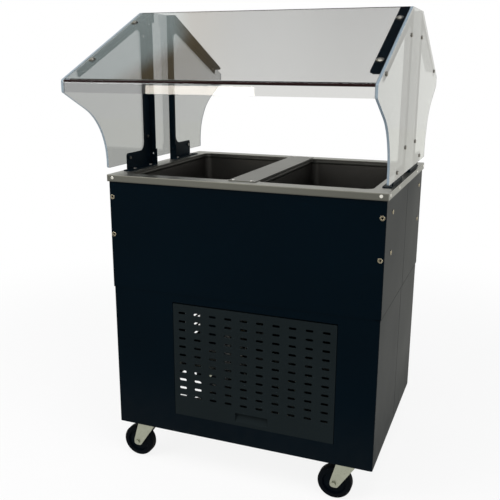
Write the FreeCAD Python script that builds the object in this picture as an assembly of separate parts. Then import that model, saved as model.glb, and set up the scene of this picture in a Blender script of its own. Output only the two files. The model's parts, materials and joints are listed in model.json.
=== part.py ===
"""Mobile salad bar: two cold wells in a steel cabinet on swivel casters, under a clear guard.

Origin: centre of the footprint on the floor. +Z up, +X to the right, the grille side faces -Y.
All lengths are millimetres, all angles degrees. One STEP file is written for each piece.
"""
import FreeCAD, Part
import math
import os

V = FreeCAD.Vector

# ---------------------------------------------------------------- driving dimensions

# Deck
deck_width = 808.0
deck_depth = 619.0
deck_height = 902.0
deck_band = 19.0
deck_sheet = 2.0
deck_corner = 3.0
rim_side = 50.0
rim_end = 45.0
divider_width = 80.0
divider_sheet = 2.0
divider_lap = 14.0

# Wells
well_depth = 200.0
well_sheet = 1.5
well_draft = 14.0
well_corner = 22.0
well_flange = 8.0
insulation_under = 30.0
foam_gap = 0.5
coil_tube = 5.0
coil_passes = 4
coil_pitch = 44.0
coil_length = 300.0

# Body shells
shell_sheet = 2.0
shell_corner = 4.0
shell_inset = 4.0
seam_height = 567.0
seam_lap = 25.0
body_bottom = 125.0
side_seam = 18.0
butt_gap = 0.8

# Inner frame
angle_leg = 25.0
angle_wall = 2.5
bearer_width = 40.0
bearer_spacing = 400.0
seam_ring_drop = 20.0

# Base pan and its air opening
pan_sheet = 2.5
air_width = 150.0
air_length = 220.0
air_centre_y = 20.0
air_from_side = 16.0

# Air outlet louvres in the left side
louvre_count = 7
louvre_pitch = 18.0
louvre_height = 10.0
louvre_length = 140.0
louvre_first_z = 216.0
louvre_centre_y = 225.0

# Grille panel
panel_left = -204.0
panel_right = 285.0
panel_bottom = 186.0
panel_top = 537.0
panel_sheet = 1.5
panel_return = 12.0
panel_gap_side = 1.5
panel_gap_top = 4.0
panel_seat_gap = 0.3
frame_return = 16.0
slot_columns = 10
slot_rows = 11
slot_pitch_x = 48.1
slot_pitch_z = 26.1
slot_length = 22.0
slot_height = 7.0
slot_top_margin = 26.0
pull_width = 100.0
pull_height = 28.0
pull_depth = 11.0
pull_from_bottom = 11.0
pull_flat = 6.0
pull_bend = 3.0
panel_corner = 1.5

# Casters
caster_height = 130.0
caster_inset_x = 77.0
caster_inset_y = 37.5
caster_trail = 33.0
wheel_diameter = 100.0
wheel_width = 32.0
wheel_crown = 5.0
hub_width = 35.0
hub_radius = 11.0
axle_radius = 4.0
axle_play = 0.08
axle_across = 13.0
axle_head = 5.0
axle_nut = 6.0
tyre_depth = 15.0
web_recess = 7.0
web_flare = 3.0
tread_radius = 6.0
plate_length = 92.0
plate_width = 60.0
plate_thickness = 3.0
plate_hole_x = 73.0
plate_hole_y = 44.5
plate_corner = 7.0
gusset_margin = 5.0
bolt_radius = 4.0
bolt_play = 0.3
bolt_across = 13.0
bolt_head = 5.0
bolt_nut = 6.5
bolt_tail = 9.0
race_radius = 28.0
race_height = 4.0
fork_race_radius = 27.0
fork_race_height = 3.0
fork_sheet = 2.5
fork_clearance = 0.6
fork_end_radius = 11.0
fork_shoulder = 6.0
fork_front_depth = 10.0
fork_back_bend = 30.0
fork_front_bend = 8.0
fork_toe_bend = 9.0
race_gap = 0.3
kingpin_radius = 6.0
kingpin_head = 3.0
kingpin_play = 0.08

# Guard
guard_height = 453.0
guard_top_half = 92.0
guard_reach = 500.0
guard_slope_drop = 186.5
guard_lip = 30.0
guard_foot_lift = 19.0
guard_waist_inset = 192.0
guard_foot_corner = 6.0
guard_waist_angle = 26.0
guard_waist_radius = 168.0
guard_side_inset = 2.0
end_panel_sheet = 6.0
shield_sheet = 6.0
shield_end_gap = 1.0
shield_bend = 9.0
shield_washer = 1.5

# Brackets
bracket_sheet = 3.0
post_gap = 130.0
post_width = 42.0
post_flange = 21.0
arm_flange = 28.0
arm_root = 27.0
arm_tip = 18.0
arm_tip_gap = 60.0
arm_fillet = 18.0
foot_reach = 213.0
foot_height = 50.0
foot_fillet = 25.0
foot_flange = 25.0
foot_toe = 15.0
foot_corner = 8.0
arm_tip_lift = 6.0
arm_tip_corner = 5.0
arm_flange_corner = 8.0
bracket_top_drop = 1.0
bend_radius = 4.0
flange_trim_drop = 30.0
flange_hole_drop = 34.0
flange_hole_lift = 35.0

# Guard fasteners
screw_radius = 2.5
screw_play = 0.3
screw_head_radius = 5.5
screw_head_height = 2.8
washer_radius = 8.0
washer_height = 1.2
nut_across = 8.0
nut_height = 4.0
screw_tail = 1.0
post_screw_offset = 8.0
post_screw_drop = 70.0
post_screw_lift = 90.0
arm_screw_inset = 26.0
foot_panel_screw_inset = 17.0
foot_panel_screw_lift = 36.0
shield_screw_inner = 160.0
shield_screw_tip = 52.0
foot_screw_inner = 28.0
foot_screw_outer = 25.0
foot_screw_depth = 4.0

# Deck screws and hollow shell rivets
deck_screw_drop = 8.0
deck_screw_inset_x = 19.0
deck_screw_inset_y = 21.5
deck_screw_side_inner = 158.0
stud_radius = 2.4
stud_head_radius = 4.5
stud_head_height = 1.4
rivet_radius = 3.6
rivet_bore = 2.6
rivet_head_radius = 6.8
rivet_head_height = 1.6
rivet_from_corner = 10.0
rivet_upper_drop = 64.0
rivet_lower_drop = 174.0
rivet_front_inset = 92.5
rivet_rear_inset = 55.5

# Condensing unit
unit_left = -150.0
unit_right_gap = 96.0
unit_front = -165.0
unit_back = 190.0
unit_base_height = 15.0
unit_base_sheet = 2.0
condenser_inset = 10.0
condenser_depth = 40.0
condenser_width = 280.0
condenser_height = 240.0
condenser_fins = 20
condenser_fin_sheet = 1.2
condenser_tubes = 6
condenser_tube = 4.5
condenser_overhang = 20.0
shroud_sheet = 2.0
shroud_depth = 24.0
fan_radius = 98.0
fan_tip_gap = 6.0
fan_blades = 5
fan_blade_sheet = 1.8
fan_root_chord = 26.0
fan_root_pitch = 34.0
fan_tip_chord = 62.0
fan_tip_pitch = 20.0
fan_hub_radius = 22.0
fan_hub_length = 22.0
fan_shaft_radius = 4.0
fan_shaft_play = 0.08
motor_radius = 38.0
motor_length = 52.0
motor_gap = 6.0
motor_collar = 8.0
strap_width = 28.0
strap_sheet = 4.0
strap_foot = 26.0
compressor_from_right = 110.0
compressor_y = 35.0
compressor_radius = 72.0
compressor_height = 170.0
compressor_lift = 8.0
compressor_seam = 6.0
compressor_step = 2.0
compressor_low_dome = 18.0
compressor_high_dome = 30.0
compressor_foot = 12.0
compressor_foot_sheet = 3.0
compressor_stub = 7.5
compressor_stub_rise = 8.0
grommet_radius = 9.0
terminal_width = 48.0
terminal_height = 60.0
terminal_reach = 26.0
suction_tube = 6.0
suction_bend = 20.0
suction_rise = 90.0
suction_level = 150.0
suction_side_room = 2.5
discharge_tube = 5.0
discharge_bend = 12.0
discharge_offset = 13.0
liquid_tube = 4.0
liquid_bend = 14.0
liquid_offset = 24.0
liquid_turn = 300.0
drier_radius = 14.0
drier_length = 90.0
drier_rise = 60.0
coil_gap = 1.0

# Drain
drain_bore = 20.0
drain_flange = 30.0
drain_flange_height = 2.0
drain_tube = 14.0
drain_wall = 2.0
drain_drop = 70.0
drain_level_drop = 30.0
drain_bend = 26.0
drain_main_inset = 64.0
drain_outlet = 200.0
valve_height = 330.0
valve_radius = 22.0
valve_length = 56.0
valve_nut = 14.0
valve_neck = 8.0
boss_radius = 10.0
boss_reach = 4.0
stem_radius = 5.0
stem_length = 16.0
lever_length = 66.0
lever_width = 16.0
lever_eye = 22.4
lever_neck = 10.0
lever_corner = 6.0
lever_sheet = 3.0

# Control box
control_left = -118.0
control_width = 120.0
control_height = 110.0
control_depth = 60.0
control_front = -250.0
control_flange = 14.0
control_row = 64.0
knob_from_left = 40.0
switch_from_left = 91.0
knob_radius = 17.0
knob_taper = 2.0
knob_length = 16.0
knob_skirt = 12.0
knob_rib = 6.0
knob_shaft = 3.0
knob_play = 0.08
switch_width = 24.0
switch_height = 16.0
switch_depth = 12.0
switch_side_gap = 0.6
switch_end_gap = 2.5
switch_pin = 2.0
switch_pin_depth = 3.0
switch_crown = 6.5
switch_dish = 2.0
switch_skirt = 2.0
switch_keel = 5.0
switch_keel_half = 3.0

# ---------------------------------------------------------------- derived dimensions

deck_x = deck_width / 2
deck_y = deck_depth / 2
deck_under = deck_height - deck_sheet
upper_x = deck_x - shell_inset
upper_y = deck_y - shell_inset
lower_x = upper_x - shell_sheet
lower_y = upper_y - shell_sheet
frame_x = lower_x - shell_sheet
frame_y = lower_y - shell_sheet
pan_top = caster_height + pan_sheet

well_inner = divider_width / 2
well_outer = deck_x - rim_side
well_y = deck_y - rim_end
well_centre = (well_inner + well_outer) / 2
well_floor = deck_height - well_depth
coil_under = well_floor - well_sheet - 2 * coil_tube
insulation_bottom = coil_under - insulation_under

panel_middle = (panel_left + panel_right) / 2
unit_right = frame_x - unit_right_gap
compressor_x = unit_right - compressor_from_right
drain_main_end = frame_x - drain_main_inset
caster_pivot_x = frame_x - caster_inset_x
caster_pivot_y = frame_y - caster_inset_y
deck_screw_height = deck_height - deck_screw_drop
rivet_side_front = rivet_front_inset - upper_y
rivet_side_rear = upper_y - rivet_rear_inset
unit_floor = pan_top + unit_base_height
unit_middle = (unit_front + unit_back) / 2
condenser_x = unit_left + condenser_inset + condenser_depth / 2
condenser_pitch = condenser_height / condenser_tubes
fan_x = unit_left + condenser_inset + condenser_depth + shroud_depth / 2
fan_z = unit_floor + condenser_height / 2
knob_x = control_left + knob_from_left
switch_x = control_left + switch_from_left
control_z = pan_top + control_row
wheel_radius = wheel_diameter / 2
fork_bridge_top = caster_height - plate_thickness - race_height - race_gap
fork_gap = hub_width / 2 + fork_clearance

guard_top = deck_height + guard_height
guard_shoulder = guard_top - guard_slope_drop
guard_base = deck_height + guard_foot_lift
guard_waist_half = guard_reach - guard_waist_inset
end_panel_outer = deck_x - guard_side_inset
arm_reach = guard_reach - arm_tip_gap
shield_screw_outer = arm_reach - shield_screw_tip
guard_slope = math.atan2(guard_top - guard_shoulder, guard_reach - guard_top_half)
slope_tan = math.tan(guard_slope)
slope_cos = math.cos(guard_slope)
bracket_outer = end_panel_outer - end_panel_sheet
bracket_top = guard_top - bracket_top_drop
half_gap = post_gap / 2

SIDES = (("left", -1), ("right", 1))
ENDS = (("front", -1), ("rear", 1))


# ---------------------------------------------------------------- drawing helpers

def place(plane, u, v, w=0.0):
    """Point (u, v) of a drawing plane, w along its normal."""
    if plane == "x":
        return V(w, u, v)
    if plane == "y":
        return V(u, w, v)
    return V(u, v, w)


def outline(plane, corners):
    """Closed wire through corners (u, v) or (u, v, radius); a radius rounds its corner."""
    ends = []
    count = len(corners)
    for index, corner in enumerate(corners):
        here = V(corner[0], corner[1], 0)
        radius = corner[2] if len(corner) > 2 else 0.0
        before = V(corners[index - 1][0], corners[index - 1][1], 0) - here
        after_corner = corners[(index + 1) % count]
        after = V(after_corner[0], after_corner[1], 0) - here
        before.normalize()
        after.normalize()
        if radius == 0:
            ends.append((here, None, here))
            continue
        half = before.getAngle(after) / 2
        inward = (before + after).normalize()
        tangent = radius / math.tan(half)
        middle = here + inward * (radius / math.sin(half) - radius)
        ends.append((here + before * tangent, middle, here + after * tangent))
    edges = []
    for index, (start, middle, end) in enumerate(ends):
        if middle is not None:
            arc = [place(plane, p.x, p.y) for p in (start, middle, end)]
            edges.append(Part.Arc(*arc).toShape())
        following = ends[(index + 1) % count][0]
        if end.distanceToPoint(following) > 1e-6:
            line = [place(plane, p.x, p.y) for p in (end, following)]
            edges.append(Part.makeLine(*line))
    return Part.Wire(edges)


def circle(plane, u, v, radius):
    """Closed circular wire."""
    return Part.Wire([Part.makeCircle(radius, place(plane, u, v), place(plane, 0, 0, 1))])


def slab(plane, wire, start, thickness, holes=()):
    """Flat plate from start along the plane's normal, with any holes."""
    face = Part.makeFace([wire] + list(holes), "Part::FaceMakerBullseye")
    face.translate(place(plane, 0, 0, start))
    return face.extrude(place(plane, 0, 0, thickness))


def rectangle(u0, u1, v0, v1, radius=0.0):
    """Corners of a rectangle, all rounded alike."""
    return [(u0, v0, radius), (u1, v0, radius), (u1, v1, radius), (u0, v1, radius)]


def box(x0, x1, y0, y1, z0, z1):
    """Box between two opposite corners."""
    low = V(min(x0, x1), min(y0, y1), min(z0, z1))
    return Part.makeBox(abs(x1 - x0), abs(y1 - y0), abs(z1 - z0), low)


def rod(radius, start, end):
    """Round bar between two points."""
    along = V(*end) - V(*start)
    return Part.makeCylinder(radius, along.Length, V(*start), along)


def hexagon(across, height, base, along):
    """Hexagonal prism, measured across its flats, standing on base along a direction."""
    reach = across / math.sqrt(3)
    points = [V(reach * math.cos(math.radians(60 * k)), reach * math.sin(math.radians(60 * k)), 0)
              for k in range(7)]
    prism = Part.Face(Part.makePolygon(points)).extrude(V(0, 0, height))
    prism.Placement = FreeCAD.Placement(V(*base), FreeCAD.Rotation(V(0, 0, 1), V(*along)))
    return prism


def band(half_x, half_y, corner, sheet, z0, z1):
    """Upright rectangular band of sheet: half_x and half_y are its outer half sizes."""
    outer = outline("z", rectangle(-half_x, half_x, -half_y, half_y, corner))
    inner_x = half_x - sheet
    inner_y = half_y - sheet
    inner_corner = max(corner - sheet, 0.0)
    inner = outline("z", rectangle(-inner_x, inner_x, -inner_y, inner_y, inner_corner))
    return slab("z", outer, z0, z1 - z0, [inner])


def fuse(shapes):
    """One solid from overlapping or touching shapes."""
    return shapes[0].multiFuse(shapes[1:]).removeSplitter()


def group(shapes):
    """Separate like pieces kept together."""
    return Part.makeCompound(shapes)


def bent_tube(points, bend, radius):
    """Round tube along straight runs joined by tangent bends."""
    path = [V(*p) for p in points]
    runs = []
    start = path[0]
    for before_point, corner, after_point in zip(path, path[1:], path[2:]):
        before = (before_point - corner).normalize()
        after = (after_point - corner).normalize()
        half = before.getAngle(after) / 2
        bend_start = corner + before * (bend / math.tan(half))
        centre = corner + (before + after).normalize() * (bend / math.sin(half))
        runs.append(rod(radius, start, bend_start))
        section = Part.Face(Part.Wire([Part.makeCircle(radius, bend_start, before)]))
        turn = 180 - 2 * math.degrees(half)
        runs.append(section.revolve(centre, after.cross(before), turn))
        start = corner + after * (bend / math.tan(half))
    runs.append(rod(radius, start, path[-1]))
    return fuse(runs)


def both(side, low, high):
    """Two X values mirrored to one side, in rising order."""
    return sorted((side * low, side * high))


# ---------------------------------------------------------------- deck and wells

def well_outline(side, shrink=0.0):
    """Corners of one well opening, drawn in by shrink all round."""
    x0, x1 = both(side, well_inner + shrink, well_outer - shrink)
    return rectangle(x0, x1, -well_y + shrink, well_y - shrink, well_corner)


def make_deck():
    """Deck sheet with its two openings, folded edge band and inward hem."""
    outer = outline("z", rectangle(-deck_x, deck_x, -deck_y, deck_y, deck_corner))
    openings = [outline("z", well_outline(side)) for _, side in SIDES]
    top = slab("z", outer, deck_under, deck_sheet, openings)
    skirt = band(deck_x, deck_y, deck_corner, deck_sheet, deck_height - deck_band, deck_under)
    hem_inner = outline("z", rectangle(-upper_x, upper_x, -upper_y, upper_y, shell_corner))
    hem = slab("z", outer, deck_height - deck_band, deck_sheet, [hem_inner])
    return fuse([top, skirt, hem])


def make_divider():
    """Flat cover over the deck web between the wells, lapping the front and back rims."""
    half = well_y + divider_lap
    edge = outline("z", rectangle(-well_inner, well_inner, -half, half, 2.0))
    return slab("z", edge, deck_height, divider_sheet)


def well_body(side, grow, top, bottom):
    """Tapered well-shaped solid between two heights; grow adds to every side."""
    ends = []
    for height in (top, bottom):
        shrink = well_draft * (deck_height - height) / well_depth - grow
        wire = outline("z", well_outline(side, shrink))
        wire.translate(V(0, 0, height))
        ends.append(wire)
    return Part.makeLoft(ends, True, True)


def make_liner(side):
    """Open well pan with drafted walls, a drain hole and a rim flange under the deck."""
    flange_top = deck_under
    outer = well_body(side, well_sheet, flange_top, well_floor - well_sheet)
    hollow = well_body(side, 0.0, flange_top, well_floor)
    flange_edge = outline("z", well_outline(side, -well_sheet - well_flange))
    flange = slab("z", flange_edge, flange_top - well_sheet, well_sheet)
    drain = rod(drain_bore, (side * well_centre, 0, well_floor - 2 * well_sheet),
                (side * well_centre, 0, well_floor + well_sheet))
    return outer.fuse(flange).cut(hollow).cut(drain).removeSplitter()


def make_insulation():
    """Foam body round both wells, with a pocket under each floor for the cooling coil."""
    half_x = frame_x - angle_leg - foam_gap
    half_y = frame_y - angle_leg - foam_gap
    top = deck_under - well_sheet
    body = box(-half_x, half_x, -half_y, half_y, insulation_bottom, top)
    for _, side in SIDES:
        body = body.cut(well_body(side, well_sheet, top, well_floor - well_sheet))
        coil_half_x = (coil_passes - 1) * coil_pitch / 2 + 2 * coil_tube
        coil_half_y = coil_length / 2 + coil_pitch / 2 + 2 * coil_tube
        x = side * well_centre
        body = body.cut(box(x - coil_half_x, x + coil_half_x, -coil_half_y, coil_half_y,
                            coil_under, well_floor - well_sheet))
        body = body.cut(rod(drain_bore, (x, 0, insulation_bottom), (x, 0, well_floor)))
        pipe_x, pipe_y = coil_inlet(side)
        body = body.cut(rod(suction_tube + coil_gap, (pipe_x, pipe_y, insulation_bottom),
                            (pipe_x, pipe_y, coil_under)))
    return body


def coil_inlet(side):
    """Where a cooling coil takes its tube, in plan."""
    x = side * well_centre - (coil_passes - 1) * coil_pitch / 2
    return x, coil_length / 2


def make_coil(side):
    """Serpentine tube pressed against the underside of one well floor."""
    height = well_floor - well_sheet - coil_tube
    first_x, _ = coil_inlet(side)
    half = coil_length / 2
    points = []
    for index in range(coil_passes):
        x = first_x + index * coil_pitch
        ends = (half, -half) if index % 2 == 0 else (-half, half)
        points.extend((x, y, height) for y in ends)
    return bent_tube(points, coil_pitch / 2 - 0.5, coil_tube)


def make_drains():
    """Flanged drain fitting in the floor of each well, with its tail tube."""
    fittings = []
    for _, side in SIDES:
        x = side * well_centre
        flange = rod(drain_flange, (x, 0, well_floor), (x, 0, well_floor + drain_flange_height))
        tail_bottom = well_floor - drain_drop
        tail = rod(drain_tube, (x, 0, tail_bottom), (x, 0, well_floor))
        bore = rod(drain_tube - drain_wall, (x, 0, tail_bottom), (x, 0, well_floor + drain_flange_height))
        fittings.append(flange.fuse(tail).cut(bore).removeSplitter())
    return group(fittings)


# ---------------------------------------------------------------- shells

def halves(shape):
    """Front and rear parts of a wrap-round shell, with a butt gap at the side seam."""
    reach = 2 * deck_x
    front_end = side_seam - butt_gap / 2
    rear_start = side_seam + butt_gap / 2
    front = shape.common(box(-reach, reach, -reach, front_end, 0, guard_top))
    rear = shape.common(box(-reach, reach, rear_start, reach, 0, guard_top))
    return front, rear


def make_upper_shells():
    """Upper body sheet from the seam to under the deck."""
    shell = band(upper_x, upper_y, shell_corner, shell_sheet, seam_height, deck_under)
    return halves(shell)


def make_lower_shells():
    """Lower body sheet, lapped behind the upper one, with the panel opening and the air outlet."""
    shell = band(lower_x, lower_y, shell_corner, shell_sheet, body_bottom, seam_height + seam_lap)
    left = panel_left - panel_gap_side
    right = panel_right + panel_gap_side
    bottom = panel_bottom - panel_seat_gap
    top = panel_top + panel_gap_top
    shell = shell.cut(box(left, right, -deck_y, 0, bottom, top))
    opening = outline("y", rectangle(left, right, bottom, top))
    around = outline("y", rectangle(left - shell_sheet, right + shell_sheet,
                                    bottom - shell_sheet, top + shell_sheet))
    returns = slab("y", around, -frame_y - 0.5 * shell_sheet, frame_return, [opening])
    shell = fuse([shell, returns])
    for index in range(louvre_count):
        z = louvre_first_z + index * louvre_pitch
        slot = box(-deck_x, -frame_x + 1, louvre_centre_y - louvre_length / 2,
                   min(louvre_centre_y + louvre_length / 2, lower_y - 2 * shell_corner),
                   z, z + louvre_height)
        shell = shell.cut(slot)
    return halves(shell)


def make_grille_panel():
    """Shallow pressed pan: a field of obround slots, folded returns and a recessed finger pull."""
    face_y = -lower_y
    slots = []
    for column in range(slot_columns):
        x = panel_middle + (column - (slot_columns - 1) / 2) * slot_pitch_x
        for row in range(slot_rows):
            z = panel_top - slot_top_margin - row * slot_pitch_z
            slots.append(outline("y", rectangle(x - slot_length / 2, x + slot_length / 2,
                                                z - slot_height / 2, z + slot_height / 2,
                                                slot_height / 2)))
    pull_left = panel_middle - pull_width / 2
    pull_right = panel_middle + pull_width / 2
    pull_low = panel_bottom + pull_from_bottom
    pull_high = pull_low + pull_height
    mouth = outline("y", rectangle(pull_left, pull_right, pull_low, pull_high))
    rim = outline("y", rectangle(panel_left, panel_right, panel_bottom, panel_top, panel_corner))
    sheet = slab("y", rim, face_y, panel_sheet, slots + [mouth])
    inner = outline("y", rectangle(panel_left + panel_sheet, panel_right - panel_sheet,
                                   panel_bottom + panel_sheet, panel_top - panel_sheet))
    returns = slab("y", rim, face_y, panel_return, [inner])
    return fuse([sheet, returns, make_pull(pull_left, pull_right, pull_low, pull_high, face_y)])


def make_pull(left, right, low, high, face_y):
    """Finger pocket: deep under its top edge, its floor ramping out to the panel face."""
    wall = panel_sheet
    back = face_y + pull_depth
    pocket = outline("x", [(face_y, low), (back, high - pull_flat, pull_bend), (back, high), (face_y, high)])
    skin = outline("x", [(face_y, low - wall), (back + wall, high - pull_flat, pull_bend),
                         (back + wall, high + wall), (face_y, high + wall)])
    outer = slab("x", skin, left - wall, right - left + 2 * wall)
    inner = slab("x", pocket, left, right - left)
    return outer.cut(inner)


# ---------------------------------------------------------------- frame and base pan

def make_frame():
    """Welded frame of angle bars: posts, three rings, seam strips, straps, bearers and gussets."""
    leg = angle_leg
    wall = angle_wall
    top = deck_under
    seam_low = seam_height - seam_ring_drop
    seam_high = seam_height + seam_lap
    bars = [corner_post(side, end, top) for _, side in SIDES for _, end in ENDS]
    bars += ring_bars(frame_x, frame_y, pan_top, pan_top + leg, pan_top)
    bars += ring_bars(frame_x, frame_y, insulation_bottom - leg, insulation_bottom,
                      insulation_bottom - wall)
    bars += ring_bars(lower_x, lower_y, top - leg, top, top - wall)
    bars += ring_bars(frame_x, frame_y, seam_low, seam_high)
    for _, side in SIDES:
        x0, x1 = both(side, frame_x - wall, frame_x)
        bars.append(box(x0, x1, side_seam - leg / 2, side_seam + leg / 2, pan_top, top))
        bars += [caster_gusset(side, end) for _, end in ENDS]
    for _, end in ENDS:
        y = end * bearer_spacing / 2
        bars.append(box(-frame_x, frame_x, y - bearer_width / 2, y + bearer_width / 2,
                        insulation_bottom - wall, insulation_bottom))
    frame = butt_together([bar.common(frame_room()) for bar in bars])
    for _, side in SIDES:
        for _, end in ENDS:
            for x, y in plate_holes(side, end):
                hole = rod(bolt_radius + bolt_play, (x, y, pan_top - wall), (x, y, pan_top + 2 * wall))
                frame = [bar.cut(hole) if bar.BoundBox.intersect(hole.BoundBox) else bar
                         for bar in frame]
    return group(frame)


def ring_bars(x, y, low, high, flat_low=None):
    """Four bars round the cabinet: an upright wall and, at flat_low, a leg turned inward."""
    bars = []
    for _, end in ENDS:
        y0, y1 = both(end, y - angle_wall, y)
        bar = box(-x, x, y0, y1, low, high)
        if flat_low is not None:
            y0, y1 = both(end, y - angle_leg, y)
            bar = bar.fuse(box(-x, x, y0, y1, flat_low, flat_low + angle_wall)).removeSplitter()
        bars.append(bar)
    for _, side in SIDES:
        x0, x1 = both(side, x - angle_wall, x)
        bar = box(x0, x1, -y, y, low, high)
        if flat_low is not None:
            x0, x1 = both(side, x - angle_leg, x)
            bar = bar.fuse(box(x0, x1, -y, y, flat_low, flat_low + angle_wall)).removeSplitter()
        bars.append(bar)
    return bars


def butt_together(bars):
    """Each bar cut back to where it meets the bars before it, as they are welded."""
    placed = []
    for bar in bars:
        for other in placed:
            if bar.BoundBox.intersect(other.BoundBox):
                bar = bar.cut(other)
        placed.extend(bar.Solids)
    return placed


def frame_room():
    """Space inside the shells, with their rounded inner corners."""
    corner = shell_corner - shell_sheet
    low = outline("z", rectangle(-frame_x, frame_x, -frame_y, frame_y, corner))
    high = outline("z", rectangle(-lower_x, lower_x, -lower_y, lower_y, corner))
    ring_low = deck_under - angle_leg
    return fuse([slab("z", low, pan_top, deck_under - pan_top), slab("z", high, ring_low, angle_leg)])


def corner_post(side, end, top):
    """Upright angle in one corner."""
    x0, x1 = both(side, frame_x - angle_leg, frame_x)
    y0, y1 = both(end, frame_y - angle_wall, frame_y)
    along_x = box(x0, x1, y0, y1, pan_top, top)
    x0, x1 = both(side, frame_x - angle_wall, frame_x)
    y0, y1 = both(end, frame_y - angle_leg, frame_y)
    return along_x.fuse(box(x0, x1, y0, y1, pan_top, top))


def caster_gusset(side, end):
    """Flat corner plate that the caster bolts clamp."""
    x0, x1 = both(side, caster_pivot_x - plate_length / 2, frame_x)
    y0, y1 = both(end, caster_pivot_y - plate_width / 2 - gusset_margin, frame_y)
    return box(x0, x1, y0, y1, pan_top, pan_top + angle_wall)


def plate_holes(side, end):
    """Centres of the four caster bolts at one corner."""
    x = side * caster_pivot_x
    y = end * caster_pivot_y
    return [(x + dx * plate_hole_x / 2, y + dy * plate_hole_y / 2) for dx in (-1, 1) for dy in (-1, 1)]


def make_base_pan():
    """Flat base sheet with the air opening, drilled for the caster bolts."""
    edge = outline("z", rectangle(-frame_x, frame_x, -frame_y, frame_y, shell_corner))
    air_left = -frame_x + air_from_side
    air = outline("z", rectangle(air_left, air_left + air_width, air_centre_y - air_length / 2,
                                 air_centre_y + air_length / 2, 10.0))
    holes = [air]
    for _, side in SIDES:
        for _, end in ENDS:
            holes.extend(circle("z", x, y, bolt_radius + bolt_play) for x, y in plate_holes(side, end))
    return slab("z", edge, caster_height, pan_sheet, holes)


# ---------------------------------------------------------------- casters

def make_caster_plate(side, end):
    """Top plate with its race and the riveted kingpin that the fork turns on."""
    x = side * caster_pivot_x
    y = end * caster_pivot_y
    plate_low = caster_height - plate_thickness
    race_low = plate_low - race_height
    pin_low = fork_bridge_top - fork_race_height - race_gap
    edge = outline("z", rectangle(x - plate_length / 2, x + plate_length / 2,
                                  y - plate_width / 2, y + plate_width / 2, plate_corner))
    holes = [circle("z", hx, hy, bolt_radius + bolt_play) for hx, hy in plate_holes(side, end)]
    plate = slab("z", edge, plate_low, plate_thickness, holes)
    race = Part.makeCone(race_radius - race_height, race_radius, race_height, V(x, y, race_low))
    pin = rod(kingpin_radius, (x, y, pin_low), (x, y, race_low))
    head_low = V(x, y, pin_low - kingpin_head)
    head = Part.makeCone(kingpin_radius, kingpin_radius + kingpin_head, kingpin_head, head_low)
    return fuse([plate, race, pin, head])


def make_fork(x, y):
    """Pressed fork: a round crown on the kingpin and two legs that run back to the axle."""
    axle_x = x - caster_trail
    top = fork_bridge_top
    crown = fork_race_radius
    toe = fork_end_radius
    leg_wire = outline("y", [
        (x - crown, top), (x - crown, top - fork_shoulder),
        (axle_x - toe, wheel_radius + fork_shoulder, fork_back_bend),
        (axle_x - toe, wheel_radius - toe, fork_toe_bend), (axle_x + toe, wheel_radius - toe, fork_toe_bend),
        (x + crown, top - fork_front_depth, fork_front_bend), (x + crown, top)])
    span = fork_gap + fork_sheet
    disc = rod(crown, (x, y, top - fork_race_height), (x, y, top))
    bridge = box(x - crown, x + crown, y - span, y + span, top - fork_race_height, top)
    legs = [slab("y", leg_wire, y + start, fork_sheet) for start in (-span, fork_gap)]
    fork = fuse([disc, bridge] + legs)
    fork = fork.cut(rod(kingpin_radius + kingpin_play, (x, y, wheel_radius), (x, y, caster_height)))
    axle_start = (axle_x, y - 2 * span, wheel_radius)
    axle_end = (axle_x, y + 2 * span, wheel_radius)
    return fork.cut(rod(axle_radius, axle_start, axle_end))


def make_axle(x, y):
    """Axle bolt with its head and nut outside the fork legs."""
    span = fork_gap + fork_sheet
    shank = rod(axle_radius, (x, y - span, wheel_radius), (x, y + span, wheel_radius))
    head = hexagon(axle_across, axle_head, (x, y - span - axle_head, wheel_radius), (0, 1, 0))
    nut = hexagon(axle_across, axle_nut, (x, y + span, wheel_radius), (0, 1, 0))
    return fuse([shank, head, nut])


def make_wheel(x, y):
    """Crowned tyre on a webbed core, bored for the axle."""
    bore = axle_radius + axle_play
    half = wheel_width / 2
    hub = hub_width / 2
    core = wheel_radius - tyre_depth
    web = half - web_recess
    shoulder = wheel_radius - wheel_crown
    root = hub_radius + web_flare
    rim = core - web_flare
    tread = half - wheel_crown
    profile = outline("x", [
        (-hub, bore), (hub, bore), (hub, hub_radius), (web, root), (web, rim), (half, core),
        (half, shoulder, bend_radius), (tread, wheel_radius, tread_radius),
        (-tread, wheel_radius, tread_radius), (-half, shoulder, bend_radius),
        (-half, core), (-web, rim), (-web, root), (-hub, hub_radius)])
    wheel = Part.Face(profile).revolve(V(0, 0, 0), V(0, 1, 0), 360)
    wheel.translate(V(x, y, wheel_radius))
    return wheel


def make_caster_bolts():
    """Hexagon bolts and nuts that hold the four caster plates."""
    bolts = []
    low = caster_height - plate_thickness
    high = pan_top + angle_wall
    for _, side in SIDES:
        for _, end in ENDS:
            for x, y in plate_holes(side, end):
                shank = rod(bolt_radius, (x, y, low), (x, y, high + bolt_tail))
                head = hexagon(bolt_across, bolt_head, (x, y, low - bolt_head), (0, 0, 1))
                nut = hexagon(bolt_across, bolt_nut, (x, y, high), (0, 0, 1))
                bolts.append(fuse([shank, head, nut]))
    return group(bolts)


# ---------------------------------------------------------------- guard

def slope_z(y, drop=0.0):
    """Height of the guard's sloped line at distance y from the middle, dropped square to it."""
    return guard_top - (y - guard_top_half) * slope_tan - drop / slope_cos


def screw_places():
    """Screws of one half-bracket in the end panel: (distance from the middle, height)."""
    post_middle = half_gap + post_width / 2
    tip_y = arm_reach - arm_screw_inset
    tip_z = slope_z(tip_y, shield_sheet + shield_washer + (arm_tip + shield_washer) / 2)
    return [(post_middle + post_screw_offset, bracket_top - post_screw_drop), (tip_y, tip_z),
            (post_middle, deck_height + post_screw_lift),
            (foot_reach - foot_panel_screw_inset, deck_height + foot_panel_screw_lift)]


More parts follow.
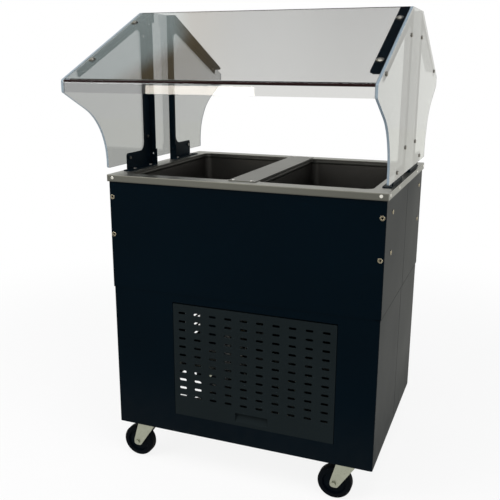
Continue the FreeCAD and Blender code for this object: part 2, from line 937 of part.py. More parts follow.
def make_end_panel(side):
    """Clear end panel: flat top, sloped shoulders, short upright nose and concave waist."""
    waist = math.radians(guard_waist_angle)
    nose_low = guard_shoulder - guard_lip
    crease_z = nose_low - (guard_reach - guard_waist_half) * math.tan(waist)
    room = crease_z - guard_base - 2 * guard_foot_corner
    waist_radius = min(guard_waist_radius, room / math.tan((math.pi / 2 - waist) / 2))
    half = [(guard_waist_half, guard_base, guard_foot_corner), (guard_waist_half, crease_z, waist_radius),
            (guard_reach, nose_low, 5), (guard_reach, guard_shoulder, 5), (guard_top_half, guard_top, 4)]
    other = [(-y, z, r) for y, z, r in reversed(half)]
    holes = [circle("x", end * y, z, screw_radius + screw_play)
             for _, end in ENDS for y, z in screw_places()]
    start, _ = both(side, end_panel_outer - end_panel_sheet, end_panel_outer)
    return slab("x", outline("x", half + other), start, end_panel_sheet, holes)


def make_bracket(side, end):
    """Folded steel half-bracket: foot, post and tapering arm, with flanges turned inward."""
    drop = shield_sheet + shield_washer
    top_half = guard_top_half + (slope_z(guard_top_half, drop) - bracket_top) / slope_tan
    root_y = half_gap + post_width
    tip_low = slope_z(arm_reach, drop) - arm_tip / slope_cos
    root_low = slope_z(root_y, drop) - arm_root / slope_cos
    foot_top = deck_height + foot_height
    corners = [
        (half_gap, deck_height), (foot_reach, deck_height), (foot_reach, foot_top, foot_corner),
        (root_y, foot_top, foot_fillet), (root_y, root_low, arm_fillet),
        (arm_reach - arm_tip_lift, tip_low, arm_tip_lift),
        (arm_reach, slope_z(arm_reach, drop), arm_tip_corner),
        (top_half, bracket_top), (half_gap, bracket_top)]
    blank = slab("x", outline("x", corners), bracket_outer - arm_flange, arm_flange)
    for fold in (lies_on_post, lies_on_arm):
        blank = blank.makeFillet(bend_radius, [edge for edge in blank.Edges if fold(edge)])

    sheet = bracket_sheet
    inner_drop = drop + sheet
    inner_top_half = guard_top_half + (slope_z(guard_top_half, inner_drop) - guard_top) / slope_tan
    pocket = outline("x", [
        (half_gap + sheet, deck_height + sheet), (guard_reach, deck_height + sheet),
        (guard_reach, slope_z(guard_reach, inner_drop)), (inner_top_half, guard_top),
        (half_gap + sheet, guard_top)])
    bracket = blank.cut(slab("x", pocket, 0, bracket_outer - sheet))

    post_edge = bracket_outer - post_flange
    trim_low = deck_height + foot_height
    trim_high = bracket_top - flange_trim_drop
    bracket = bracket.cut(box(0, post_edge, 0, half_gap + sheet, trim_low, trim_high))
    bracket = bracket.cut(box(0, bracket_outer - foot_flange, 0, foot_reach, 0, trim_low))
    toe = box(bracket_outer - foot_flange, bracket_outer, foot_reach - 1, foot_reach + foot_toe,
              deck_height, deck_height + sheet)
    bracket = bracket.fuse(toe)

    bracket = bracket.cut(arm_corner_waste())

    for y, z in screw_places():
        bracket = bracket.cut(rod(screw_radius + screw_play, (0, y, z), (deck_x, y, z)))
    for y in shield_screw_places():
        bracket = bracket.cut(slope_rod(y, screw_radius + screw_play, -2 * drop, 2 * drop))
    for z in (bracket_top - flange_hole_drop, deck_height + flange_hole_lift):
        x = bracket_outer - post_flange / 2 - sheet / 2
        bracket = bracket.cut(rod(screw_radius, (x, 0, z), (x, half_gap + 2 * sheet, z)))
    for y in foot_screw_places():
        x = foot_screw_x()
        hole = rod(screw_radius + screw_play, (x, y, deck_under), (x, y, deck_height + 2 * sheet))
        bracket = bracket.cut(hole)
    bracket = bracket.removeSplitter()
    if side < 0:
        bracket = bracket.mirror(V(0, 0, 0), V(1, 0, 0))
    if end < 0:
        bracket = bracket.mirror(V(0, 0, 0), V(0, 1, 0))
    return bracket


def arm_corner_waste():
    """Waste outside the rounded inner corner of an arm flange, square to the slope."""
    radius = arm_flange_corner
    depth = shield_sheet + shield_washer + 2 * bracket_sheet
    x = bracket_outer - arm_flange
    waste = box(x - 1, x + radius, -radius, 2 * radius, -depth, 0)
    waste = waste.cut(rod(radius, (x + radius, -radius, -depth), (x + radius, -radius, 0)))
    waste.rotate(V(0, 0, 0), V(1, 0, 0), -math.degrees(guard_slope))
    waste.translate(V(0, arm_reach, slope_z(arm_reach)))
    return waste


def fold_ends(edge):
    """Both ends of a long edge on the outer face of a bracket blank, or nothing."""
    ends = [vertex.Point for vertex in edge.Vertexes]
    if len(ends) != 2 or edge.Length < 2 * post_width:
        return []
    return ends if all(abs(point.x - bracket_outer) < 0.01 for point in ends) else []


def lies_on_post(edge):
    """True for the outer fold line beside the gap between the posts."""
    ends = fold_ends(edge)
    return bool(ends) and all(abs(point.y - half_gap) < 0.01 for point in ends)


def lies_on_arm(edge):
    """True for the outer fold line along the top of the arm."""
    drop = shield_sheet + shield_washer
    ends = fold_ends(edge)
    return bool(ends) and all(abs(point.z - slope_z(point.y, drop)) < 0.01 for point in ends)


def shield_screw_places():
    """Distances from the middle of the two shield screws in one arm."""
    return shield_screw_inner, shield_screw_outer


def foot_screw_places():
    """Distances from the middle of the two deck screws in one foot."""
    return half_gap + foot_screw_inner, foot_reach - foot_screw_outer


def foot_screw_x():
    """Distance of the foot screws from the middle of the deck."""
    return bracket_outer - bracket_sheet - (foot_flange - bracket_sheet) / 2


def shield_screw_x():
    """Distance of the shield screws from the middle: half way across the arm flange."""
    return bracket_outer - bracket_sheet - (arm_flange - bracket_sheet) / 2


def slope_rod(y, radius, low, high, side=1):
    """Rod square to the sloped guard line at distance y: low and high start at its outer face."""
    base = V(side * shield_screw_x(), y, slope_z(y))
    normal = V(0, math.sin(guard_slope), math.cos(guard_slope))
    return Part.makeCylinder(radius, high - low, base + normal * low, normal)


def to_front(shape):
    """The same shape mirrored to the front of the guard."""
    return shape.mirror(V(0, 0, 0), V(0, 1, 0))


def shield_skin(inset, bend):
    """One face line of the shield: the slope, its bend and the lip, drawn in by inset."""
    nose = guard_reach - inset
    start = guard_top_half - inset * math.sin(guard_slope)
    lip_end = (nose, guard_shoulder - guard_lip)
    return [(start, slope_z(start, inset)), (nose, slope_z(nose, inset), bend), lip_end]


def make_shield():
    """Front shield: one clear sheet bent from the slope into a short upright lip."""
    outer = shield_skin(0.0, shield_bend + shield_sheet)
    inner = shield_skin(shield_sheet, shield_bend)
    half = bracket_outer - shield_end_gap
    sheet = slab("x", outline("x", outer + inner[::-1]), -half, 2 * half)
    for y in shield_screw_places():
        for _, side in SIDES:
            hole = slope_rod(y, screw_radius + screw_play, -2 * shield_sheet, shield_sheet, side)
            sheet = sheet.cut(hole)
    return to_front(sheet)


def make_shield_washers():
    """Rubber washers between the shield and the arm flanges."""
    washers = []
    for y in shield_screw_places():
        for _, side in SIDES:
            ring = slope_rod(y, washer_radius, -shield_sheet - shield_washer, -shield_sheet, side)
            hole = slope_rod(y, screw_radius + screw_play, -2 * shield_sheet, 0, side)
            washers.append(to_front(ring.cut(hole)))
    return group(washers)


def make_shield_screws():
    """Washered screws through the shield, its rubber washers and the arm flanges."""
    screws = []
    stack = shield_sheet + shield_washer + bracket_sheet
    nut_low = -stack - nut_height
    head_top = washer_height + screw_head_height
    for y in shield_screw_places():
        for _, side in SIDES:
            screws.append(to_front(fuse([
                slope_rod(y, screw_radius, nut_low - screw_tail, washer_height, side),
                slope_rod(y, washer_radius, 0, washer_height, side),
                slope_rod(y, screw_head_radius, washer_height, head_top, side),
                slope_rod(y, nut_across / 2, nut_low, -stack, side)])))
    return group(screws)


def make_panel_screws():
    """Button-head screws through the end panels and brackets, each with a nut inside."""
    screws = []
    for _, side in SIDES:
        outer = side * end_panel_outer
        inner = side * (bracket_outer - bracket_sheet)
        tail = inner - side * (nut_height + screw_tail)
        head_end = outer + side * screw_head_height
        for _, end in ENDS:
            for distance, z in screw_places():
                y = end * distance
                shank = rod(screw_radius, (outer, y, z), (tail, y, z))
                head = rod(screw_head_radius, (outer, y, z), (head_end, y, z))
                nut = hexagon(nut_across, nut_height, (inner, y, z), (-side, 0, 0))
                screws.append(fuse([shank, head, nut]))
    return group(screws)


def make_foot_screws():
    """Screws that hold the bracket feet to the deck and the frame."""
    screws = []
    low = deck_under - foot_screw_depth
    top = deck_height + bracket_sheet
    tip = screw_head_radius - stud_head_height
    for _, side in SIDES:
        x = side * foot_screw_x()
        for _, end in ENDS:
            for distance in foot_screw_places():
                y = end * distance
                head = Part.makeCone(screw_head_radius, tip, screw_head_height, V(x, y, top))
                screws.append(fuse([rod(screw_radius, (x, y, low), (x, y, top)), head]))
    return group(screws)


# ---------------------------------------------------------------- sheet fasteners

def stud(face, outward, depth):
    """Round-headed screw on a face: its shank goes depth into the sheets behind."""
    face = V(*face)
    outward = V(*outward)
    shank = Part.makeCylinder(stud_radius, depth, face - outward * depth, outward)
    head = Part.makeCone(stud_head_radius, stud_head_radius - 1, stud_head_height, face, outward)
    return fuse([shank, head])


def hollow_rivet(face, outward, depth):
    """Ring-headed tubular rivet, open from end to end."""
    face = V(*face)
    outward = V(*outward)
    inside = face - outward * depth
    shank = Part.makeCylinder(rivet_radius, depth, inside, outward)
    head = Part.makeCone(rivet_head_radius, rivet_head_radius - 1, rivet_head_height, face, outward)
    bore = Part.makeCylinder(rivet_bore, depth + rivet_head_height, inside, outward)
    return fuse([shank, head]).cut(bore)


def make_deck_screws():
    """Screws round the deck band and at the ends of the divider cover."""
    depth = shell_inset + shell_sheet
    z = deck_screw_height
    screws = []
    for _, end in ENDS:
        for _, side in SIDES:
            screws.append(stud((side * (deck_x - deck_screw_inset_x), end * deck_y, z), (0, end, 0), depth))
            for y in (deck_y - deck_screw_inset_y, deck_screw_side_inner):
                screws.append(stud((side * deck_x, end * y, z), (side, 0, 0), depth))
            cover_y = end * (well_y + divider_lap / 2)
            screws.append(stud((side * divider_width / 3, cover_y, deck_height + divider_sheet),
                               (0, 0, 1), divider_sheet + deck_sheet))
    return group(screws)


def make_shell_rivets():
    """Rivets that hold the upper shell to the corner posts and side straps."""
    rivets = []
    for z in (deck_height - rivet_upper_drop, deck_height - rivet_lower_drop):
        for _, side in SIDES:
            for _, end in ENDS:
                x = side * (upper_x - rivet_from_corner)
                rivets.append(hollow_rivet((x, end * upper_y, z), (0, end, 0), shell_sheet))
            for y in (rivet_side_front, rivet_side_rear):
                rivets.append(hollow_rivet((side * upper_x, y, z), (side, 0, 0), shell_sheet))
    return group(rivets)


# ---------------------------------------------------------------- condensing unit

def make_unit_base():
    """Channel that carries the compressor, the condenser and the fan."""
    tray = box(unit_left, unit_right, unit_front, unit_back, pan_top, unit_floor)
    inside = box(unit_left, unit_right, unit_front + unit_base_sheet, unit_back - unit_base_sheet,
                 pan_top, unit_floor - unit_base_sheet)
    return tray.cut(inside)


def make_condenser():
    """Finned coil: upright fins on a tube that runs to and fro through them."""
    x0 = condenser_x - condenser_depth / 2
    y0 = unit_middle - condenser_width / 2
    fin_pitch = (condenser_width - condenser_fin_sheet) / condenser_fins
    fins = []
    for index in range(condenser_fins + 1):
        y = y0 + index * fin_pitch
        fins.append(box(x0, x0 + condenser_depth, y, y + condenser_fin_sheet,
                        unit_floor, unit_floor + condenser_height))
    reach = condenser_width / 2 + condenser_overhang
    points = []
    for row in range(condenser_tubes):
        z = unit_floor + (row + 0.5) * condenser_pitch
        ends = (reach, -reach) if row % 2 == 0 else (-reach, reach)
        points.extend((condenser_x, unit_middle + y, z) for y in ends)
    tube = bent_tube(points, condenser_pitch / 2 - 0.5, condenser_tube)
    return fuse(fins + [tube])


def make_shroud():
    """Shroud against the condenser with a round throat for the fan."""
    start = fan_x - shroud_depth / 2
    half = condenser_width / 2
    throat = fan_radius + fan_tip_gap
    hole = circle("x", unit_middle, fan_z, throat)
    edge = outline("x", rectangle(unit_middle - half, unit_middle + half, unit_floor,
                                  unit_floor + condenser_height))
    wall = slab("x", edge, start, shroud_sheet, [hole])
    lip = circle("x", unit_middle, fan_z, throat + shroud_sheet)
    ring = slab("x", lip, start, shroud_depth, [circle("x", unit_middle, fan_z, throat)])
    return fuse([wall, ring])


def make_motor():
    """Fan motor with its shaft, held by a strap that stands on the unit's base."""
    start = fan_x + fan_hub_length / 2 + motor_gap
    end = start + motor_length
    y, z = unit_middle, fan_z
    half = strap_width / 2
    return fuse([
        rod(motor_radius, (start, y, z), (end, y, z)),
        rod(fan_shaft_radius, (fan_x - fan_hub_length / 2, y, z), (start, y, z)),
        rod(motor_collar, (start - motor_gap + race_gap, y, z), (start, y, z)),
        box(end - strap_sheet, end, y - half, y + half, unit_floor, z),
        box(end - strap_foot, end, y - half, y + half, unit_floor, unit_floor + shroud_sheet)])


def blade_section(chord, pitch, radius):
    """Thin rectangle across a fan blade at one radius, turned to its pitch."""
    half_sheet = fan_blade_sheet / 2
    wire = outline("z", rectangle(-chord / 2, chord / 2, -half_sheet, half_sheet))
    wire.rotate(V(0, 0, 0), V(0, 0, 1), 90 - pitch)
    wire.translate(V(0, 0, radius))
    return wire


def make_fan():
    """Propeller with twisted blades on a hub."""
    half = fan_hub_length / 2
    hub = rod(fan_hub_radius, (-half, 0, 0), (half, 0, 0))
    root = blade_section(fan_root_chord, fan_root_pitch, fan_hub_radius / 2)
    tip = blade_section(fan_tip_chord, fan_tip_pitch, fan_radius)
    blade = Part.makeLoft([root, tip], True, True)
    blades = []
    for index in range(fan_blades):
        turned = blade.copy()
        turned.rotate(V(0, 0, 0), V(1, 0, 0), index * 360.0 / fan_blades)
        blades.append(turned)
    disc = rod(fan_radius, (-half, 0, 0), (half, 0, 0))
    bore = rod(fan_shaft_radius + fan_shaft_play, (-fan_hub_length, 0, 0), (fan_hub_length, 0, 0))
    fan = fuse([hub] + blades).common(disc).cut(bore)
    fan.translate(V(fan_x, unit_middle, fan_z))
    return fan


def make_compressor():
    """Hermetic compressor: drawn shell with domed ends, feet on grommets, terminal cover and stub."""
    x, y, low = compressor_x, compressor_y, unit_floor
    r = compressor_radius
    wall = r - compressor_step
    seam = low + compressor_height / 2
    bottom = low + compressor_lift
    top = low + compressor_height
    profile = outline("y", [
        (0, bottom), (r / 2, bottom),
        (wall, bottom + compressor_low_dome, compressor_low_dome), (wall, seam),
        (r, seam), (r, seam + compressor_seam), (wall, seam + compressor_seam),
        (wall, top - compressor_high_dome, compressor_low_dome),
        (r / 2, top, compressor_high_dome), (0, top)])
    shell = Part.Face(profile).revolve(V(0, 0, 0), V(0, 0, 1), 360)
    shell.translate(V(x, y, 0))
    reach = r + compressor_foot
    foot_edge = outline("z", rectangle(x - reach, x + reach, y - reach, y + reach, compressor_low_dome))
    foot = slab("z", foot_edge, bottom, compressor_foot_sheet)
    corners = [(x + dx * r, y + dy * r) for dx in (-1, 1) for dy in (-1, 1)]
    grommets = [rod(grommet_radius, (u, v, low), (u, v, low + compressor_foot)) for u, v in corners]
    half = terminal_width / 2
    cover = box(x - half, x + half, y - r - terminal_reach, y - r / 2,
                seam - terminal_height, seam - compressor_seam)
    z = suction_start_z()
    stub = rod(compressor_stub, (suction_start_x(), y, z), (x - r / 2, y, z))
    top_y = discharge_start_y()
    top_stub = rod(compressor_stub, (x, top_y, top - compressor_high_dome),
                   (x, top_y, top + compressor_stub_rise))
    return fuse([shell, foot, cover, stub, top_stub] + grommets)


def suction_start_x():
    """End face of the compressor's suction stub."""
    return compressor_x - compressor_radius - condenser_inset


def suction_start_z():
    """Height of the compressor's suction stub."""
    return unit_floor + 0.75 * compressor_height


def make_suction_line():
    """Tube from the compressor up to the right-hand cooling coil."""
    pipe_x, pipe_y = coil_inlet(1)
    y, z = compressor_y, suction_start_z()
    x0 = suction_start_x()
    x1 = min(x0 - 1.5 * suction_bend, pipe_x - suction_side_room * suction_bend)
    points = [(x0, y, z), (x1, y, z), (x1, y, z + suction_rise), (x1, pipe_y, z + suction_rise),
              (x1, pipe_y, z + suction_level), (pipe_x, pipe_y, z + suction_level),
              (pipe_x, pipe_y, coil_under - coil_gap)]
    return bent_tube(points, suction_bend, suction_tube)


def discharge_start_y():
    """Where the discharge stub stands on the compressor's dome."""
    return compressor_y + compressor_radius / 2


def make_discharge_line():
    """Tube from the compressor's top to the top row of the condenser."""
    x, y = compressor_x, discharge_start_y()
    low = unit_floor + compressor_height + compressor_stub_rise
    z = unit_floor + (condenser_tubes - 0.5) * condenser_pitch
    y0 = unit_middle + condenser_width / 2 + condenser_overhang
    y1 = y0 + discharge_offset
    points = [(x, y, low), (x, y, z), (x, y1, z), (condenser_x, y1, z), (condenser_x, y0, z)]
    return bent_tube(points, discharge_bend, discharge_tube)


def make_liquid_line():
    """Tube from the condenser through the drier up to the left-hand cooling coil."""
    pipe_x, pipe_y = coil_inlet(-1)
    x = condenser_x
    y0 = unit_middle + condenser_width / 2 + condenser_overhang
    y1 = y0 + liquid_offset
    low = unit_floor + 0.5 * condenser_pitch
    turn = low + liquid_turn
    points = [(x, y0, low), (x, y1, low), (x, y1, turn), (pipe_x, y1, turn + liquid_offset),
              (pipe_x, pipe_y, turn + 2 * liquid_offset), (pipe_x, pipe_y, coil_under - coil_gap)]
    drier_low = low + drier_rise
    drier = rod(drier_radius, (x, y1, drier_low), (x, y1, drier_low + drier_length))
    return fuse([bent_tube(points, liquid_bend, liquid_tube), drier])


# ---------------------------------------------------------------- drain pipe and valve

def make_drain_pipe():
    """Pipe that joins both drain tails and runs down to the valve."""
    tail_low = well_floor - drain_drop
    level = tail_low - drain_level_drop
    points = [(-well_centre, 0, tail_low), (-well_centre, 0, level), (drain_main_end, 0, level),
              (drain_main_end, 0, valve_height + valve_length / 2)]
    main = bent_tube(points, drain_bend, drain_tube)
    tee = rod(drain_tube, (well_centre, 0, level), (well_centre, 0, tail_low))
    return fuse([main, tee])


def make_valve():
    """Ball valve body with end nuts, a stem boss and the outlet tail."""
    x = drain_main_end
    z = valve_height
    low = z - valve_length / 2
    high = z + valve_length / 2
    body = rod(valve_radius, (x, 0, low + valve_neck), (x, 0, high - valve_neck))
    nuts = [hexagon(2 * valve_radius, valve_nut, (x, 0, base), (0, 0, 1)) for base in (low, high - valve_nut)]
    boss = rod(boss_radius, (x, 0, z), (x, -valve_radius - boss_reach, z))
    stem = rod(stem_radius, (x, 0, z), (x, -valve_radius - stem_length, z))
    tail = rod(drain_tube, (x, 0, drain_outlet), (x, 0, low))
    return fuse([body, boss, stem, tail] + nuts)


def make_lever():
    """Valve lever on the stem, standing across the pipe when the valve is shut."""
    x, z = drain_main_end, valve_height
    back = -valve_radius - boss_reach - race_gap
    eye = lever_eye / 2
    half = lever_width / 2
    end = x - lever_length
    edge = outline("y", [
        (x + eye, z - eye, lever_corner), (x + eye, z + eye, lever_corner),
        (x - lever_neck, z + half, lever_corner), (end, z + half, lever_corner),
        (end, z - half, lever_corner), (x - lever_neck, z - half, lever_corner)])
    hole = circle("y", x, z, stem_radius + kingpin_play)
    return slab("y", edge, back - lever_sheet, lever_sheet, [hole])


# ---------------------------------------------------------------- controls

def make_control_box():
    """Box with the knob's shaft and a pocket with a cross pin for the rocker switch."""
    back = control_front + control_depth
    right = control_left + control_width
    body = box(control_left, right, control_front, back, pan_top, pan_top + control_height)
    foot = box(control_left - control_flange, right + control_flange, control_front + control_flange, back,
               pan_top, pan_top + pan_sheet)
    shaft = rod(knob_shaft, (knob_x, control_front - knob_skirt, control_z), (knob_x, back, control_z))
    half_x = switch_width / 2 + switch_side_gap
    half_z = switch_height / 2 + switch_end_gap
    pocket = box(switch_x - half_x, switch_x + half_x, control_front, control_front + switch_depth,
                 control_z - half_z, control_z + half_z)
    pin_y = control_front + switch_pin_depth
    pin_start = (switch_x - switch_width, pin_y, control_z)
    pin_end = (switch_x + switch_width, pin_y, control_z)
    pin = rod(switch_pin, pin_start, pin_end)
    return fuse([body.cut(pocket), foot, shaft, pin])


def make_knob():
    """Temperature knob with a pointer rib, bored for its shaft."""
    front = control_front - race_gap
    base = V(knob_x, front, control_z)
    skirt = Part.makeCone(knob_radius, knob_radius - knob_taper, knob_skirt, base, V(0, -1, 0))
    half = knob_radius - knob_rib / 2
    rib = box(knob_x - knob_rib / 2, knob_x + knob_rib / 2, front - knob_length, front - knob_taper,
              control_z - half, control_z + half)
    bore_end = control_front - knob_skirt - race_gap
    bore = rod(knob_shaft + knob_play, (knob_x, control_front, control_z), (knob_x, bore_end, control_z))
    return fuse([skirt, rib]).cut(bore)


def make_switch():
    """Rocker: a shallow two-faced paddle on its cross pin."""
    z = control_z
    pivot = control_front + switch_pin_depth
    half = switch_height / 2
    keel = switch_keel_half
    profile = outline("x", [
        (pivot - switch_crown, z - half), (pivot - switch_crown + switch_dish, z),
        (pivot - switch_crown, z + half), (pivot - switch_skirt, z + half), (pivot + switch_keel, z + keel),
        (pivot + switch_keel, z - keel), (pivot - switch_skirt, z - half)])
    rocker = slab("x", profile, switch_x - switch_width / 2, switch_width)
    bore_start = (switch_x - switch_width, pivot, z)
    bore_end = (switch_x + switch_width, pivot, z)
    return rocker.cut(rod(switch_pin + knob_play, bore_start, bore_end))


# ---------------------------------------------------------------- assembly

def build():
    """Every node of the salad bar by name."""
    upper_front, upper_rear = make_upper_shells()
    lower_front, lower_rear = make_lower_shells()
    nodes = {
        "deck_top": make_deck(),
        "divider_cover": make_divider(),
        "insulation": make_insulation(),
        "cooling_coils": group([make_coil(side) for _, side in SIDES]),
        "drain_fittings": make_drains(),
        "drain_pipe": make_drain_pipe(),
        "drain_valve": make_valve(),
        "valve_lever": make_lever(),
        "inner_frame": make_frame(),
        "base_pan": make_base_pan(),
        "upper_shell_front": upper_front,
        "upper_shell_rear": upper_rear,
        "lower_shell_front": lower_front,
        "lower_shell_rear": lower_rear,
        "grille_panel": make_grille_panel(),
        "unit_base": make_unit_base(),
        "condenser_coil": make_condenser(),
        "fan_shroud": make_shroud(),
        "fan_motor": make_motor(),
        "fan_rotor": make_fan(),
        "compressor": make_compressor(),
        "suction_line": make_suction_line(),
        "discharge_line": make_discharge_line(),
        "liquid_line": make_liquid_line(),
        "control_box": make_control_box(),
        "temperature_knob": make_knob(),
        "power_switch": make_switch(),
        "front_shield": make_shield(),
        "shield_washers": make_shield_washers(),
        "shield_screws": make_shield_screws(),
        "panel_screws": make_panel_screws(),
        "foot_screws": make_foot_screws(),
        "deck_screws": make_deck_screws(),
        "shell_rivets": make_shell_rivets(),
        "caster_bolts": make_caster_bolts(),
    }
    for side_name, side in SIDES:
        nodes["well_liner_" + side_name] = make_liner(side)
        nodes["end_panel_" + side_name] = make_end_panel(side)
        for end_name, end in ENDS:
            place_name = side_name + "_" + end_name
            nodes["bracket_" + place_name] = make_bracket(side, end)
            pivot_x = side * caster_pivot_x
            pivot_y = end * caster_pivot_y
            nodes["caster_plate_" + place_name] = make_caster_plate(side, end)
            nodes["caster_fork_" + place_name] = make_fork(pivot_x, pivot_y)
            nodes["caster_wheel_" + place_name] = make_wheel(pivot_x - caster_trail, pivot_y)
            nodes["caster_axle_" + place_name] = make_axle(pivot_x - caster_trail, pivot_y)
    return nodes


def main():
    """Write one STEP file per node."""
    os.makedirs("parts", exist_ok=True)
    for name, shape in build().items():
        shape.exportStep("parts/" + name + ".step")


main()
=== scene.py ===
"""Finishes and fine detail for the mobile salad bar, set on its packed construction model."""
import bmesh
import bpy
import json
import math
from contextlib import contextmanager
from mathutils import Matrix, Vector


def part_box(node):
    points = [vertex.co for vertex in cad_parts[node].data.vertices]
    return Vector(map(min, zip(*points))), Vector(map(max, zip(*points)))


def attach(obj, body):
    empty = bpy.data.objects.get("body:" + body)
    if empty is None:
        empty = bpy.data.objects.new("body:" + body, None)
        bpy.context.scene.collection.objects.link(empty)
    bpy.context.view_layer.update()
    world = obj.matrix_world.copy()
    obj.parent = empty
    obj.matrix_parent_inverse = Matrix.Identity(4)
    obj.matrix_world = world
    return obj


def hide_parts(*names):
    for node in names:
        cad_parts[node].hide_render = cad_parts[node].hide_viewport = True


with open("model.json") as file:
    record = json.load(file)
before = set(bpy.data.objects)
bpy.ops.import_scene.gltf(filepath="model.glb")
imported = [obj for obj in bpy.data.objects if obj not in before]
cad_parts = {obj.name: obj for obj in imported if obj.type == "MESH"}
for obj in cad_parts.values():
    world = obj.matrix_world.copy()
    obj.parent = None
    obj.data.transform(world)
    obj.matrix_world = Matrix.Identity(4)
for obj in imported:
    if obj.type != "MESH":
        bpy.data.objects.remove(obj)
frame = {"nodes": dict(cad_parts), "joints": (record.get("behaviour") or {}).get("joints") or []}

bl_info = {
    "name": "Mobile Salad Bar",
    "version": (1, 0, 0),
    "blender": (4, 5, 0),
    "location": "3D View > Sidebar > Salad Bar",
    "description": "Adds the finishes, fasteners and fittings of a mobile salad bar",
    "category": "Add Mesh",
}

CABINET = "cabinet"
SIDES = (("left", -1), ("right", 1))
CORNERS = [side + "_" + end for side, _ in SIDES for end in ("front", "rear")]

# Places on the cabinet, in metres: the level seam, and the upright seams half way along each side
SEAM_HEIGHT = 0.567
SIDE_SEAM = 0.018

# The guard's slope, and the heads of the screws in it
GUARD_RISE = 0.1865
GUARD_RUN = 0.408
GUARD_SLOPE = math.atan2(GUARD_RISE, GUARD_RUN)
GUARD_HEAD_RADIUS = 0.0055
GUARD_HEAD_HEIGHT = 0.0028

# How far printed marks stand in front of what they are printed on
PRINT_LIFT = 0.0001


# ---------------- sizes and colours


class SaladBarSizes(bpy.types.PropertyGroup):
    """Sizes of the small fittings."""

    screw_recess: bpy.props.FloatProperty(
        name="Screw recess", description="Depth of the cross in a screw head",
        default=0.0011, min=0.0002, unit="LENGTH", subtype="DISTANCE")
    strainer_radius: bpy.props.FloatProperty(
        name="Strainer radius", description="Radius of the drain strainer in each well",
        default=0.0235, min=0.01, unit="LENGTH", subtype="DISTANCE")
    edge_trim: bpy.props.FloatProperty(
        name="Well trim", description="Thickness of the breaker strip round each well",
        default=0.0016, min=0.0005, unit="LENGTH", subtype="DISTANCE")


class SaladBarColours(bpy.types.PropertyGroup):
    """Base colours of the main finishes."""

    body: bpy.props.FloatVectorProperty(
        name="Body paint", description="Near-black navy enamel of the cabinet",
        default=(0.0003, 0.0032, 0.0062), size=3, min=0.0, max=1.0, subtype="COLOR")
    grille: bpy.props.FloatVectorProperty(
        name="Grille paint", description="Enamel of the removable grille panel",
        default=(0.0085, 0.0125, 0.0138), size=3, min=0.0, max=1.0, subtype="COLOR")
    stainless: bpy.props.FloatVectorProperty(
        name="Stainless", description="Brushed stainless of the deck",
        default=(0.27, 0.27, 0.245), size=3, min=0.0, max=1.0, subtype="COLOR")
    acrylic: bpy.props.FloatVectorProperty(
        name="Acrylic", description="Faint smoke tint of the guard",
        default=(0.54, 0.54, 0.555), size=3, min=0.0, max=1.0, subtype="COLOR")


# ---------------- shader helpers


class Value:
    """A shader socket that can be used in Python arithmetic."""

    def __init__(self, finish, socket):
        self.finish = finish
        self.socket = socket

    def _math(self, operation, first, second=None):
        inputs = {0: first} if second is None else {0: first, 1: second}
        return self.finish.node("ShaderNodeMath", {"operation": operation}, inputs)

    def __add__(self, other):
        return self._math("ADD", self, other)

    def __radd__(self, other):
        return self._math("ADD", other, self)

    def __sub__(self, other):
        return self._math("SUBTRACT", self, other)

    def __rsub__(self, other):
        return self._math("SUBTRACT", other, self)

    def __mul__(self, other):
        return self._math("MULTIPLY", self, other)

    def __rmul__(self, other):
        return self._math("MULTIPLY", other, self)

    def __gt__(self, other):
        return self._math("GREATER_THAN", self, other)

    def __lt__(self, other):
        return self._math("LESS_THAN", self, other)

    def __abs__(self):
        return self._math("ABSOLUTE", self)

    def fraction(self):
        """What is left after the whole part."""
        return self._math("FRACT", self)

    def root(self):
        """Square root."""
        return self._math("SQRT", self)

    def ramp(self, low, high, start=0.0, end=1.0):
        """Smoothly from start to end while the value goes from low to high."""
        inputs = {"Value": self, "From Min": low, "From Max": high, "To Min": start, "To Max": end}
        return self.finish.node("ShaderNodeMapRange", {"interpolation_type": "SMOOTHSTEP"}, inputs)


class Surroundings:
    """A node tree and the ways to add nodes to it."""

    def __init__(self, tree):
        self.tree = tree
        self.tree.nodes.clear()

    def node(self, kind, settings=None, inputs=None, output=0):
        """Adds a node, sets it up, joins or fills its sockets, and returns one of its outputs."""
        node = self.tree.nodes.new(kind)
        for key, setting in (settings or {}).items():
            setattr(node, key, setting)
        for key, item in (inputs or {}).items():
            self.join(item, node.inputs[key])
        return Value(self, node.outputs[output])

    def join(self, item, socket):
        """Links a value to a socket, or writes a constant into it."""
        if isinstance(item, Value):
            self.tree.links.new(item.socket, socket)
        elif isinstance(item, (tuple, list)) and len(item) == 3 and socket.type == "RGBA":
            socket.default_value = (*item, 1.0)
        else:
            socket.default_value = item

    def parts(self, vector):
        """X, Y and Z of a vector as three values."""
        split = self.tree.nodes.new("ShaderNodeSeparateXYZ")
        self.join(vector, split.inputs[0])
        return [Value(self, socket) for socket in split.outputs]

    def seen_by(self, rays):
        """1 for rays of one kind, such as Camera or Glossy."""
        return self.node("ShaderNodeLightPath", output="Is " + rays + " Ray")

    def mix(self, factor, first, second):
        """One surface turning into another."""
        return self.node("ShaderNodeMixShader", None, {0: factor, 1: first, 2: second})

    def blend(self, factor, low, high):
        """Colour between low and high."""
        node = self.tree.nodes.new("ShaderNodeMix")
        node.data_type = "RGBA"
        for index, item in ((0, factor), (6, low), (7, high)):
            self.join(item, node.inputs[index])
        return Value(self, node.outputs[2])


